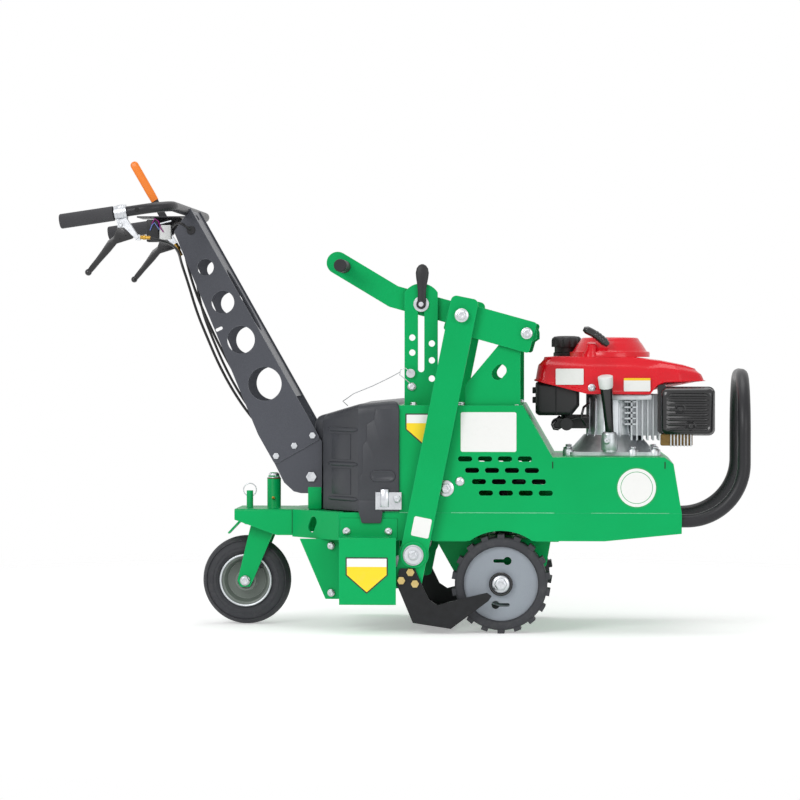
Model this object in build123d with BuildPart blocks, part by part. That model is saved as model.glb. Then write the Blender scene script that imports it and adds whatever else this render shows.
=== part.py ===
from build123d import *
import os
from math import atan2, cos, degrees, hypot, pi, radians, sin, tan

os.makedirs("parts", exist_ok=True)

# Sod cutter with a caster at the rear, two drive wheels, an engine on a raised deck and a
# reciprocating blade on two long arms. Millimetres, +X towards the bumper, +Z up, +Y to the
# machine's left. The origin is on the ground, midway along and across the machine.

# Overall reach
overall_length = 1494.0
bumper_front_x = overall_length / 2
handle_rear_x = -overall_length / 2

# Fits and fasteners
pin_fit = 0.05
seat_gap = 0.3
sheet = 4.0
small_bolt_r = 4.0
small_head_r = 7.5
small_head_h = 4.0

# Chassis: two skirts, cross plates and the tail that narrows to the caster arm
frame_half = 200.0
skirt_rear_x = -152.0
skirt_front_x = 597.0
skirt_bottom_z = 202.0
skirt_top_z = 263.0
skirt_nose_x = 430.0
skirt_nose_z = 219.0
arch_gap = 8.0
tail_rear_x = -266.0
tail_half = 78.0
tail_slot_x = -216.0
tail_slot_l = 38.0
tail_slot_w = 24.0
cross_plate_rear_x = -148.0
cross_plate_mid_x = 330.0
foot_plate_h = 30.0

# Upper housing: side panels with vents, a low engine deck and a tower behind it
tower_rear_x = -20.0
tower_top_z = 498.0
tower_front_x = 251.0
deck_rear_x = 316.0
deck_top_z = 385.0
deck_front_x = 560.0
nose_top_x = 579.0
nose_drop = 14.0
panel_foot_x = -51.0
vent_l = 31.0
vent_w = 11.5
vent_rows = 4
vent_columns = 4
vent_pitch_x = 43.5
vent_pitch_z = 24.8
vent_lean = 14.6
vent_first_x = 125.5
vent_first_z = 381.0

# Drive wheels
wheel_x = 204.0
tyre_radius = 108.0
tyre_width = 60.0
tyre_wall_r = 81.0
tyre_lug_h = 7.0
tyre_lugs = 18
tyre_lug_w = 15.0
wheel_inner_y = frame_half - 52.0
hub_disc_t = 4.0
hub_boss_r = 25.0
axle_r = 9.5
axle_plate_y = 110.0
axle_plate_t = 6.0
axle_bearing_r = 20.0

# Caster
kingpin_x = -315.0
kingpin_r = 9.0
caster_trail = 61.0
caster_radius = 100.0
caster_width = 64.0
caster_rim_r = 57.0
caster_axle_r = 6.0
fork_half = 42.0
fork_t = 6.0
fork_crown_z = 226.0
fork_foot_r = 17.5
arm_half = 78.0
arm_rear_x = -396.0
arm_rear_drop = 24.0
head_tube_r = 15.5
head_tube_top_z = 329.0
lock_pin_x = -370.0
lock_pin_r = 4.0
lock_tube_r = 7.5
lock_tube_top_z = 301.0
lock_travel = 14.0
tab_t = 4.0
tab_w = 30.0

# Handle: folded channel, gussets, posts and the U-shaped bar
channel_foot_x = -202.0
channel_foot_z = 420.5
channel_length = 592.0
channel_rake = 60.5
channel_half = 85.0
channel_t = 3.0
channel_foot_w = 117.0
channel_top_w = 58.0
channel_straight = 77.0
channel_top_drop = 28.0
web_inset = 4.0
web_bottom = 111.0
handle_bolt_row = 15.5
gusset_bottom_z = 299.0
gusset_front_x = -199.0
gusset_t = 5.0
post_x = -218.0
post_w = 22.0
bar_r = 11.0
bar_half = 318.0
bar_bend = 62.0
bar_seat_up = 2.0
bar_seat_back = 14.0
bar_fall = 8.3
grip_r = 16.0
grip_length = 118.0

# Bumper hoop
bumper_r = 14.3
bumper_half = frame_half - 20.0
bumper_bend = 125.0
bumper_top_z = 563.0
bumper_leg_z = 246.0
bumper_leg_l = 90.0

# Depth rocker: a channel that turns at A on two uprights and carries the arms at B
rocker_tilt = 15.5
rocker_reach = 146.0
rocker_half = frame_half + 6.0
rocker_t = 6.0
rocker_web_t = 3.5
rocker_front = 16.0
rocker_back = 178.0
rocker_down = 41.0
rocker_swing = 34.0
upright_half = frame_half - 8.0
upright_t = 6.0
upright_back = 135.0
upright_front = 14.0
upright_heel_z = 542.0
upright_ear_r = 22.0
upright_slot_l = 36.0
upright_slot_w = 26.0
pivot_bolt_r = 8.0

# Depth lever, its quadrant and clamp
lever_y = frame_half - 50.0
lever_t = 8.0
lever_w = 49.0
lever_bend = 305.0
lever_end = 449.0
lever_kick = 15.5
clamp_slot_l = 16.0
hand_grip_r = 14.0
hand_grip_l = 110.0
hand_grip_at = 432.0
quadrant_back = 232.6
quadrant_w = 73.0
quadrant_rise = 110.0
quadrant_t = 6.0
quadrant_shoulder = 20.0
quadrant_slot_w = 14.0
quadrant_slot_fall = 85.0
quadrant_hole_r = 7.0
clamp_bolt_r = 6.0
clamp_washer_r = 17.0
clamp_reach = 241.0
clamp_lever_l = 76.0
stop_pin_r = 6.8

# Blade arms, blade and its side plates
arm_inner_y = frame_half + 12.0
arm_t = 12.0
arm_w = 60.0
arm_lean = 11.4
arm_length = 532.0
pitman_pin_x = 14.15
pitman_pin_z = 172.5
arm_below = 76.0
arm_boss_r = 28.0
blade_t = 8.0
blade_bolt_r = 5.0
blade_head_r = 9.0
blade_ground_gap = 12.0
blade_chord = 84.0
blade_pitch = 8.5
blade_back_x = 13.0

# Blade drive
drive_x = -95.0
drive_shaft_r = 10.0
eccentric_r = 14.5
eccentric_throw = 4.0
pitman_clearance = 14.5
pitman_slack = 6.5
pitman_t = 9.0
pitman_y = frame_half + 5.5
pitman_end_r = 17.0
pitman_ring_wall = 6.0
box_rear_x = -147.0
box_front_x = -23.0
box_bottom_z = 64.0
box_half = frame_half + 45.0
box_t = 3.0
box_lip_gap = 14.0
box_flange_z = 250.0
hanger_y = frame_half - 50.0
hanger_t = 6.0
hanger_rear_x = -242.0
hanger_foot_x = -185.0
hanger_bottom_z = 69.0
hanger_front_x = -40.0
floor_t = 5.0
gear_case_half = 36.0

# Belt drive below the deck
engine_x = 436.0
lower_belt_z = 322.0
upper_belt_z = 346.0
pulley_w = 20.0
pulley_groove = 12.0
transaxle_half = 38.0
transaxle_bottom_z = 70.0
transaxle_top_z = 192.0
input_shaft_r = 9.0
crank_hole_r = 32.7
engine_pulley_r = 38.0
gearbox_pulley_r = 70.0
transaxle_pulley_r = 55.0
belt_t = 8.0
belt_w = 12.0

# Engine
block_x = 446.0
flange_half_x = 106.0
flange_half_y = 95.0
flange_h = 8.0
crankcase_r = 57.0
crankcase_foot_z = 430.0
shroud_bottom_z = 520.0
shroud_top_z = 603.0
shroud_rear_x = 272.0
shroud_front_x = 655.0
shroud_half = 112.0
shroud_corner_r = 50.0
recoil_x = 444.0
recoil_foot_r = 88.0
recoil_r = 82.0
recoil_crown_r = 60.0
recoil_shoulder_z = 617.0
recoil_top_z = 645.0
pull_grip_x = 410.0
pull_grip_z = 647.0
pull_grip_y = 84.0
pull_grip_t = 22.0
pull_grip_l = 68.0
pull_grip_h = 21.0
pull_lean = 32.0
rope_r = 2.5
cap_x = 345.0
cap_y = 64.0
cap_r = 35.0
cap_neck_r = 28.0
cap_top_z = 652.0
muffler_x = 612.0
muffler_y = -110.0
muffler_l = 122.0
muffler_h = 108.0
muffler_half_t = 30.0
muffler_bottom_z = 430.0
guard_t = 4.0
louvre_n = 8
louvre_h = 5.0
air_box_rear_x = 278.0
air_box_l = 92.0
air_box_bottom_z = 474.0
dipstick_foot = (441.0, -106.0, 434.0)
dipstick_head = (433.0, -134.0, 530.0)
dipstick_r = 8.5
dipstick_cap_r = 16.0

# Transmission cover
cover_half = frame_half + 6.0
cover_t = 3.0
cover_front_x = -18.0
cover_shoulder_x = -108.0
cover_tail_half = 104.0
cover_tail_x = -194.0
cover_bottom_z = 266.0
cover_tail_top_z = 475.0
cover_top_z = 509.0
cover_lip_rear_x = -103.0
cover_lip_front_x = -56.0
cover_lip_z = 240.0

# Hand controls
perch_x = handle_rear_x + 135.0
brake_lever_l = 128.0
perch_drop = 27.0
perch_w = 26.0
brake_lever_t = 8.0
lever_pin_r = 3.0
cable_r = 3.0
speed_pivot_z = 905.0
ring_r = 14.6
ring_wire_r = 1.2
speed_pivot_x = handle_rear_x + 189.0
speed_lever_l = 140.0
speed_lever_lean = 29.0
speed_knob_r = 8.5

# Places worked out from the sizes above

arm_c_x = pitman_pin_x
arm_c_z = pitman_pin_z
arm_b_x = arm_c_x + arm_length * sin(radians(arm_lean))
arm_b_z = arm_c_z + arm_length * cos(radians(arm_lean))
pivot_a_x = arm_b_x + rocker_reach * cos(radians(rocker_tilt))
pivot_a_z = arm_b_z - rocker_reach * sin(radians(rocker_tilt))
upright_rear_x = pivot_a_x - upright_back
upright_front_x = pivot_a_x - upright_front
quadrant_x = pivot_a_x - quadrant_back
quadrant_top_z = pivot_a_z + quadrant_rise
quadrant_slot_bottom = pivot_a_z - quadrant_slot_fall
wheel_z = tyre_radius
rocker_up = lever_w / 2 + rocker_web_t
caster_x = kingpin_x - caster_trail


def plate(points, outer, thickness, holes=(), soft=0.0, soft_from=0):
    """Upright plate on the near side: outer face at |Y| = outer, holes as (x, z, radius)."""
    with BuildPart() as body:
        with BuildSketch(Plane.XZ.offset(outer - thickness)):
            with BuildLine():
                Polyline(*points, close=True)
            make_face()
            if soft:
                fillet(vertices().sort_by(Axis.Y)[soft_from:], soft)
            for x, z, radius in holes:
                with Locations((x, z)):
                    Circle(radius, mode=Mode.SUBTRACT)
        extrude(amount=thickness)
    return body.part


def pair(body):
    """The piece and its mirror image on the other side of the machine."""
    with BuildPart() as both:
        add(body)
        mirror(about=Plane.XZ)
    return both.part


def cross_rod(x, z, y_low, y_high, radius, bore=0.0):
    """Round bar along Y, with an optional bore."""
    with BuildPart() as body:
        with BuildSketch(Plane.XZ.offset(-y_high)):
            with Locations((x, z)):
                Circle(radius)
                if bore:
                    Circle(bore, mode=Mode.SUBTRACT)
        extrude(amount=y_high - y_low)
    return body.part


def upright_rod(x, y, z_low, z_high, radius, bore=0.0):
    """Round bar along Z, with an optional bore."""
    with BuildPart() as body:
        with BuildSketch(Plane.XY.offset(z_low)):
            with Locations((x, y)):
                Circle(radius)
                if bore:
                    Circle(bore, mode=Mode.SUBTRACT)
        extrude(amount=z_high - z_low)
    return body.part


def leaning_rod(start, end, radius, bore=0.0):
    """Round bar between two points."""
    run = Vector(*end) - Vector(*start)
    with BuildPart() as body:
        with BuildSketch(Plane(origin=start, z_dir=run)):
            Circle(radius)
            if bore:
                Circle(bore, mode=Mode.SUBTRACT)
        extrude(amount=run.length)
    return body.part


def block(x_low, x_high, y_low, y_high, z_low, z_high):
    """Rectangular block between two corners."""
    with BuildPart() as body:
        with BuildSketch(Plane.XY.offset(z_low)):
            with Locations(((x_low + x_high) / 2, (y_low + y_high) / 2)):
                Rectangle(x_high - x_low, y_high - y_low)
        extrude(amount=z_high - z_low)
    return body.part


def hex_bolt(x, z, y_face, head_r, head_h, shank_r=0.0, shank_l=0.0):
    """Hexagon head standing on a near-side face at |Y| = y_face, with its shank behind it."""
    with BuildPart() as body:
        with BuildSketch(Plane.XZ.offset(y_face)):
            with Locations((x, z)):
                RegularPolygon(head_r, 6)
        extrude(amount=head_h)
        if shank_l:
            with BuildSketch(Plane.XZ.offset(y_face)):
                with Locations((x, z)):
                    Circle(shank_r)
            extrude(amount=-shank_l)
    return body.part


def group(name, *bodies):
    """One named piece made of separate solids, such as plates that are tacked face to face."""
    solids = [solid for body in bodies for solid in body.solids()]
    return Compound(label=name, children=solids)

# Lower frame: skirts, cross plates and the tapered tail
arch_r = tyre_radius + arch_gap
skirt_outline = [
    (skirt_rear_x, skirt_bottom_z),
    (skirt_nose_x, skirt_bottom_z),
    (skirt_front_x, skirt_nose_z),
    (skirt_front_x, skirt_top_z),
    (skirt_rear_x, skirt_top_z),
]
with BuildPart() as skirt:
    add(plate(skirt_outline, frame_half, sheet, [(wheel_x, wheel_z, arch_r)]))

inner_half = frame_half - sheet
with BuildPart() as cross_plates:
    add(block(skirt_front_x - sheet, skirt_front_x, -inner_half, inner_half, skirt_nose_z + 1, skirt_top_z))
    with BuildSketch(Plane.YZ.offset(skirt_front_x)):
        with Locations((-bumper_half, bumper_leg_z), (bumper_half, bumper_leg_z)):
            Circle(bumper_r)
    extrude(amount=-2 * sheet, mode=Mode.SUBTRACT)
    add(block(cross_plate_mid_x, cross_plate_mid_x + sheet, -inner_half, inner_half, skirt_bottom_z, skirt_top_z))
    add(block(cross_plate_rear_x, cross_plate_rear_x + sheet, -inner_half, inner_half, skirt_bottom_z, skirt_top_z))

# Tail side: a flat plate that runs in from the skirt to the caster arm
tail_run = hypot(skirt_rear_x - tail_rear_x, frame_half - tail_half)
tail_x_dir = ((skirt_rear_x - tail_rear_x) / tail_run, -(frame_half - tail_half) / tail_run, 0)
tail_normal = (tail_x_dir[1], -tail_x_dir[0], 0)
tail_plane = Plane(origin=(tail_rear_x, -tail_half, 0), x_dir=tail_x_dir, z_dir=tail_normal)
slot_along = (tail_slot_x - tail_rear_x) / tail_x_dir[0]
with BuildPart() as tail_side:
    with BuildSketch(tail_plane.offset(-sheet)):
        with Locations((tail_run / 2, (skirt_bottom_z + skirt_top_z) / 2)):
            Rectangle(tail_run, skirt_top_z - skirt_bottom_z)
        with Locations((slot_along, (skirt_bottom_z + skirt_top_z) / 2)):
            SlotOverall(tail_slot_l, tail_slot_w, rotation=60, mode=Mode.SUBTRACT)
    extrude(amount=sheet)
    with BuildSketch(Plane.XY.offset(skirt_bottom_z)):
        with BuildLine():
            Polyline(
                (tail_rear_x, -frame_half - sheet),
                (skirt_rear_x, -frame_half - sheet),
                (skirt_rear_x, 0),
                (tail_rear_x, 0),
                close=True,
            )
        make_face()
    extrude(amount=skirt_top_z - skirt_bottom_z, mode=Mode.INTERSECT)

# Tail top plate between the two tail sides
with BuildPart() as tail_top:
    with BuildSketch(Plane.XY.offset(skirt_top_z - sheet)):
        with BuildLine():
            Polyline(
                (tail_rear_x, -tail_half + 2 * sheet),
                (cross_plate_rear_x, -inner_half),
                (cross_plate_rear_x, inner_half),
                (tail_rear_x, tail_half - 2 * sheet),
                close=True,
            )
        make_face()
    extrude(amount=sheet)
    add(pair(tail_side.part), mode=Mode.SUBTRACT)

lower_frame = group(
    "lower_frame",
    skirt.part,
    skirt.part.mirror(Plane.XZ),
    *cross_plates.part.solids(),
    tail_side.part,
    tail_side.part.mirror(Plane.XZ),
    tail_top.part,
)
export_step(lower_frame, "parts/lower_frame.step")

# Upper housing: side panels with rows of vents, top plate, sloped front plate and deck plate
panel_outline = [
    (panel_foot_x, skirt_top_z),
    (skirt_front_x, skirt_top_z),
    (nose_top_x, deck_top_z - nose_drop),
    (deck_front_x, deck_top_z),
    (deck_rear_x, deck_top_z),
    (tower_front_x, tower_top_z),
    (tower_rear_x, tower_top_z),
    (tower_rear_x, tower_top_z - 55),
]
vent_lean_x = vent_pitch_z * tan(radians(31.5))
with BuildPart() as side_panel:
    add(plate(panel_outline, frame_half, sheet))
    with BuildSketch(Plane.XZ.offset(frame_half - sheet)):
        for row in range(vent_rows):
            for column in range(vent_columns):
                vent_x = vent_first_x + row * vent_lean_x + column * vent_pitch_x
                with Locations((vent_x, vent_first_z - row * vent_pitch_z)):
                    SlotOverall(vent_l, vent_w)
    extrude(amount=sheet, mode=Mode.SUBTRACT)
housing_side_panels = group("housing_side_panels", side_panel.part, side_panel.part.mirror(Plane.XZ))
export_step(housing_side_panels, "parts/housing_side_panels.step")

# Top plates: each profile is drawn from the side and runs between the side panels
slope_run = hypot(deck_rear_x - tower_front_x, tower_top_z - deck_top_z)
slope_nx = (tower_top_z - deck_top_z) / slope_run * sheet
slope_nz = (deck_rear_x - tower_front_x) / slope_run * sheet


def across(points, half_width):
    """Profile in X and Z, run across the machine by its half width."""
    with BuildPart() as body:
        with BuildSketch(Plane.XZ):
            with BuildLine():
                Polyline(*points, close=True)
            make_face()
        extrude(amount=half_width, both=True)
    return body.part


tower_plate = across(
    [
        (tower_rear_x, tower_top_z - sheet),
        (tower_rear_x, tower_top_z),
        (tower_front_x, tower_top_z),
        (tower_front_x - slope_nx, tower_top_z - sheet),
    ],
    inner_half,
)
slope_plate = across(
    [
        (tower_front_x, tower_top_z),
        (deck_rear_x, deck_top_z),
        (deck_rear_x, deck_top_z - sheet),
        (deck_rear_x - slope_nx, deck_top_z - sheet),
        (tower_front_x - slope_nx, tower_top_z - sheet),
    ],
    inner_half,
)
nose_plate = across(
    [
        (deck_front_x, deck_top_z),
        (nose_top_x, deck_top_z - nose_drop),
        (skirt_front_x, skirt_top_z),
        (skirt_front_x - sheet, skirt_top_z),
        (nose_top_x - sheet, deck_top_z - nose_drop - 1),
        (deck_front_x, deck_top_z - sheet),
    ],
    inner_half,
)
with BuildPart() as deck_plate:
    add(block(deck_rear_x, deck_front_x, -inner_half, inner_half, deck_top_z - sheet, deck_top_z))
    with BuildSketch(Plane.XY.offset(deck_top_z)):
        with Locations((engine_x, 0)):
            Circle(crank_hole_r)
    extrude(amount=-sheet, mode=Mode.SUBTRACT)
housing_top_plates = group("housing_top_plates", tower_plate, slope_plate, deck_plate.part, nose_plate)
export_step(housing_top_plates, "parts/housing_top_plates.step")

# Uprights: two plates on the tower that hold the rocker pivot in an ear at the top
upright_outline = [
    (upright_rear_x, tower_top_z),
    (upright_front_x, tower_top_z),
    (upright_front_x, pivot_a_z - 1.6 * upright_ear_r),
    (pivot_a_x + upright_ear_r, pivot_a_z - 0.5 * upright_ear_r),
    (pivot_a_x + upright_ear_r, pivot_a_z + upright_ear_r),
    (pivot_a_x - upright_ear_r, pivot_a_z + upright_ear_r),
    (upright_rear_x, upright_heel_z),
]
with BuildPart() as upright:
    add(plate(upright_outline, upright_half, upright_t, [(pivot_a_x, pivot_a_z, pivot_bolt_r)]))
    with BuildSketch(Plane.XZ.offset(upright_half - upright_t)):
        with Locations(((upright_rear_x + upright_front_x) / 2 + 14, (tower_top_z + pivot_a_z) / 2 - 6)):
            SlotOverall(upright_slot_l, upright_slot_w, rotation=50, mode=Mode.ADD)
    extrude(amount=upright_t, mode=Mode.SUBTRACT)
    ear_edges = edges().filter_by(Axis.Y).group_by(Axis.Z)[-1]
    fillet(ear_edges, upright_ear_r - 1)
rocker_uprights = group("rocker_uprights", upright.part, upright.part.mirror(Plane.XZ))
export_step(rocker_uprights, "parts/rocker_uprights.step")

# Depth quadrant: arched plate with a long slot and index holes
quadrant_y = lever_y + lever_t + 2 + quadrant_t
quadrant_left = quadrant_x - quadrant_w / 2
quadrant_right = quadrant_x + quadrant_w / 2
slot_top = pivot_a_z + clamp_reach * sin(radians(rocker_tilt)) + clamp_bolt_r + 3
with BuildPart() as depth_quadrant:
    with BuildSketch(Plane.XZ.offset(quadrant_y - quadrant_t)):
        with BuildLine():
            Line((quadrant_left, tower_top_z), (quadrant_right, tower_top_z))
            Line((quadrant_right, tower_top_z), (quadrant_right, quadrant_top_z - quadrant_shoulder))
            ThreePointArc(
                (quadrant_right, quadrant_top_z - quadrant_shoulder),
                (quadrant_x, quadrant_top_z),
                (quadrant_left, quadrant_top_z - quadrant_shoulder),
            )
            Line((quadrant_left, quadrant_top_z - quadrant_shoulder), (quadrant_left, tower_top_z))
        make_face()
        with Locations((quadrant_x, (quadrant_slot_bottom + slot_top) / 2)):
            SlotOverall(slot_top - quadrant_slot_bottom, quadrant_slot_w, rotation=90, mode=Mode.SUBTRACT)
        with Locations((quadrant_left + 17, 646), (quadrant_left + 17, 613)):
            Circle(quadrant_hole_r, mode=Mode.SUBTRACT)
        with Locations((quadrant_left + 14, 567.5)):
            Circle(stop_pin_r + pin_fit, mode=Mode.SUBTRACT)
        with Locations((quadrant_right - 13, 633), (quadrant_right - 13, 596), (quadrant_right - 13, 556)):
            Circle(quadrant_hole_r, mode=Mode.SUBTRACT)
    extrude(amount=quadrant_t)
depth_quadrant.part.label = "depth_quadrant"
export_step(depth_quadrant.part, "parts/depth_quadrant.step")

# Rocker: a channel on its side, drawn in its own plane at the pivot, tilted back and up
rocker_x_dir = (-cos(radians(rocker_tilt)), 0, sin(radians(rocker_tilt)))


def rocker_plane(y_near):
    """Sketch plane of the rocker on the near side: local x from A towards B, local y down."""
    return Plane(origin=(pivot_a_x, -y_near, pivot_a_z), x_dir=rocker_x_dir, z_dir=(0, -1, 0))


with BuildPart() as rocker_flange:
    with BuildSketch(rocker_plane(rocker_half - rocker_t)):
        with Locations(((rocker_back - rocker_front) / 2, (rocker_down - rocker_up) / 2)):
            RectangleRounded(rocker_back + rocker_front, rocker_down + rocker_up, 7)
        with Locations((0, 0), (rocker_reach, 0)):
            Circle(pivot_bolt_r, mode=Mode.SUBTRACT)
    extrude(amount=rocker_t)
with BuildPart() as rocker_web:
    with BuildSketch(rocker_plane(0)):
        with Locations(((rocker_back - rocker_front) / 2, -rocker_up + rocker_web_t / 2)):
            Rectangle(rocker_back + rocker_front - 16, rocker_web_t)
    extrude(amount=rocker_half - rocker_t, both=True)
rocker_channel = group(
    "rocker_channel", rocker_flange.part, rocker_flange.part.mirror(Plane.XZ), rocker_web.part
)
export_step(rocker_channel, "parts/rocker_channel.step")

# Depth lever: a flat bar under the rocker's web, bent up where the hand reaches it
kick_l = lever_end - lever_bend
kick_mid_x = lever_bend + kick_l / 2 * cos(radians(lever_kick))
kick_mid_y = -kick_l / 2 * sin(radians(lever_kick))
lever_inner = 40.0
with BuildPart() as depth_lever_bar:
    with BuildSketch(rocker_plane(lever_y - lever_t / 2)):
        with Locations(((lever_inner + lever_bend) / 2, 0)):
            SlotCenterToCenter(lever_bend - lever_inner, lever_w)
        with Locations((kick_mid_x, kick_mid_y)):
            SlotCenterToCenter(kick_l, lever_w, rotation=-lever_kick)
        with Locations((clamp_reach - 2, 0)):
            SlotCenterToCenter(clamp_slot_l, 2 * clamp_bolt_r + 1.6, mode=Mode.SUBTRACT)
    extrude(amount=lever_t)
depth_lever_bar.part.label = "depth_lever_bar"
export_step(depth_lever_bar.part, "parts/depth_lever_bar.step")

# Hand grip: a ribbed rubber sleeve on a stub that stands out towards the operator's right
grip_at_x = pivot_a_x - cos(radians(rocker_tilt)) * lever_bend
grip_at_z = pivot_a_z + sin(radians(rocker_tilt)) * lever_bend
grip_run = hand_grip_at - lever_bend
grip_at_x -= cos(radians(rocker_tilt + lever_kick)) * grip_run
grip_at_z += sin(radians(rocker_tilt + lever_kick)) * grip_run
stub_face = lever_y + lever_t / 2
with BuildPart() as lever_grip:
    with BuildSketch(Plane.XZ.offset(stub_face)):
        with Locations((grip_at_x, grip_at_z)):
            Circle(hand_grip_r)
    extrude(amount=hand_grip_l)
    fillet(faces().sort_by(Axis.Y)[0].edges(), 3)
lever_grip.part.label = "lever_grip"
export_step(lever_grip.part, "parts/lever_grip.step")

# Depth clamp: a bolt through the quadrant slot and the lever, with its washer and nut
clamp_x = pivot_a_x - clamp_reach * cos(radians(rocker_tilt))
clamp_z = pivot_a_z + clamp_reach * sin(radians(rocker_tilt))
lever_back = lever_y - lever_t / 2
with BuildPart() as clamp_bolt:
    add(cross_rod(clamp_x, clamp_z, -quadrant_y - 12, -lever_back + 3, clamp_bolt_r))
    add(cross_rod(clamp_x, clamp_z, -quadrant_y - 3 - seat_gap, -quadrant_y - seat_gap, clamp_washer_r))
    with BuildSketch(Plane.XZ.offset(lever_back - seat_gap)):
        with Locations((clamp_x, clamp_z)):
            RegularPolygon(11, 6)
    extrude(amount=-8)
clamp_bolt.part.label = "clamp_bolt"
export_step(clamp_bolt.part, "parts/clamp_bolt.step")

# Clamp lever: a spoon-shaped handle on a hub
clamp_hub_y = quadrant_y + 3 + 2 * seat_gap
with BuildPart() as clamp_lever:
    with BuildSketch(Plane.XZ.offset(clamp_hub_y)):
        with Locations((clamp_x, clamp_z)):
            Circle(11)
        with BuildLine():
            Polyline(
                (clamp_x - 8, clamp_z),
                (clamp_x + 10, clamp_z),
                (clamp_x + 22, clamp_z + clamp_lever_l - 12),
                (clamp_x + 14, clamp_z + clamp_lever_l),
                (clamp_x - 2, clamp_z + clamp_lever_l),
                (clamp_x - 9, clamp_z + clamp_lever_l - 12),
                close=True,
            )
        make_face()
        with Locations((clamp_x, clamp_z)):
            Circle(clamp_bolt_r + pin_fit, mode=Mode.SUBTRACT)
    extrude(amount=9)
clamp_lever.part.label = "clamp_lever"
export_step(clamp_lever.part, "parts/clamp_lever.step")

# Stop pin through an index hole of the quadrant
with BuildPart() as stop_pin:
    stop_pin_x = quadrant_left + 14
    add(cross_rod(stop_pin_x, 567.5, -quadrant_y - 2, -quadrant_y + quadrant_t + 14, stop_pin_r))
    add(cross_rod(stop_pin_x, 567.5, -quadrant_y - 8, -quadrant_y - seat_gap, stop_pin_r + 3))
stop_pin.part.label = "stop_pin"
export_step(stop_pin.part, "parts/stop_pin.step")

# Pivot bolts: A joins rocker and uprights, B carries the arms outside the rocker
with BuildPart() as rocker_pivot_bolts:
    add(cross_rod(pivot_a_x, pivot_a_z, -rocker_half - 1, -upright_half + upright_t + 1, pivot_bolt_r - pin_fit))
    add(hex_bolt(pivot_a_x, pivot_a_z, rocker_half, 12, 7))
rocker_pivot_bolts = group(
    "rocker_pivot_bolts", rocker_pivot_bolts.part, rocker_pivot_bolts.part.mirror(Plane.XZ)
)
export_step(rocker_pivot_bolts, "parts/rocker_pivot_bolts.step")

arm_outer_y = arm_inner_y + arm_t
blade_outer_y = arm_outer_y + blade_t
with BuildPart() as arm_pivot_bolt:
    add(cross_rod(arm_b_x, arm_b_z, -arm_outer_y - 4, -rocker_half + rocker_t + 8, pivot_bolt_r - pin_fit))
    add(cross_rod(arm_b_x, arm_b_z, -arm_inner_y + seat_gap, -rocker_half - seat_gap, 13))
    add(cross_rod(arm_b_x, arm_b_z, -arm_outer_y - 4, -arm_outer_y - seat_gap, 15))
    add(hex_bolt(arm_b_x, arm_b_z, arm_outer_y + 4, 12, 7))
arm_pivot_bolts = group("arm_pivot_bolts", arm_pivot_bolt.part, arm_pivot_bolt.part.mirror(Plane.XZ))
export_step(arm_pivot_bolts, "parts/arm_pivot_bolts.step")

# Blade arms: long flat bars that hang from B and lean back to C
arm_dir = (-sin(radians(arm_lean)), 0, -cos(radians(arm_lean)))
arm_plane = Plane(origin=(arm_b_x, -arm_inner_y, arm_b_z), x_dir=arm_dir, z_dir=(0, -1, 0))
arm_top = 40.0
with BuildPart() as blade_arm:
    with BuildSketch(arm_plane):
        with Locations(((arm_length + arm_below - arm_top) / 2, 0)):
            RectangleRounded(arm_length + arm_below + arm_top, arm_w, 12)
        with Locations((arm_length, 0)):
            Circle(arm_boss_r + 5)
        with Locations((0, 0)):
            Circle(pivot_bolt_r, mode=Mode.SUBTRACT)
        with Locations((arm_length, 0)):
            Circle(pivot_bolt_r + pin_fit, mode=Mode.SUBTRACT)
    extrude(amount=arm_t)
    with BuildSketch(arm_plane.offset(arm_t)):
        with Locations((arm_length, 0)):
            Circle(arm_boss_r)
            Circle(arm_boss_r - 6, mode=Mode.SUBTRACT)
    extrude(amount=8)
blade_arms = group("blade_arms", blade_arm.part, blade_arm.part.mirror(Plane.XZ))
export_step(blade_arms, "parts/blade_arms.step")

# Blade: two side plates bolted outside the arms and a cutter between them
blade_bolts_at = [(8, 135), (-12, 117), (18, 110)]
blade_lead = (96.0, blade_ground_gap)
blade_heel = (13.0, blade_ground_gap + 12.5)
blade_outline = [
    (-17, 139),
    (-12.5, 143.5),
    (17.5, 142.5),
    (34, 105),
    (48, 75.5),
    (66.5, 63.5),
    (129.5, 80.5),
    (174.5, 91),
    (184.5, 83.5),
    (178, 73.5),
    blade_lead,
    blade_heel,
    (-21.5, 107),
]
with BuildPart() as blade_side:
    bolt_holes = [(x, z, blade_bolt_r) for x, z in blade_bolts_at]
    add(plate(blade_outline, blade_outer_y, blade_t, bolt_holes))
with BuildPart() as cutter:
    with BuildSketch(Plane.XZ):
        with BuildLine():
            Polyline(
                blade_heel,
                blade_lead,
                (blade_lead[0] - 16, blade_lead[1] + blade_t + 2),
                (blade_heel[0] + 1, blade_heel[1] + blade_t),
                close=True,
            )
        make_face()
    extrude(amount=arm_outer_y, both=True)
blade = group("blade", blade_side.part, blade_side.part.mirror(Plane.XZ), cutter.part)
export_step(blade, "parts/blade.step")

# Blade bolts through the side plates and the arms, and the lower bearing pins at C
with BuildPart() as blade_bolt_set:
    for x, z in blade_bolts_at:
        add(hex_bolt(x, z, blade_outer_y, blade_head_r, 6, blade_bolt_r, blade_t))
    add(cross_rod(arm_c_x, arm_c_z, -arm_outer_y - 3, -arm_inner_y + 14, pivot_bolt_r))
    add(cross_rod(arm_c_x, arm_c_z, -arm_outer_y - 3 - seat_gap, -arm_outer_y - seat_gap, arm_boss_r - 7))
    add(hex_bolt(arm_c_x, arm_c_z, arm_outer_y + 3, 9, 6))
blade_bolts = group("blade_bolts", blade_bolt_set.part, blade_bolt_set.part.mirror(Plane.XZ))
export_step(blade_bolts, "parts/blade_bolts.step")


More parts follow.
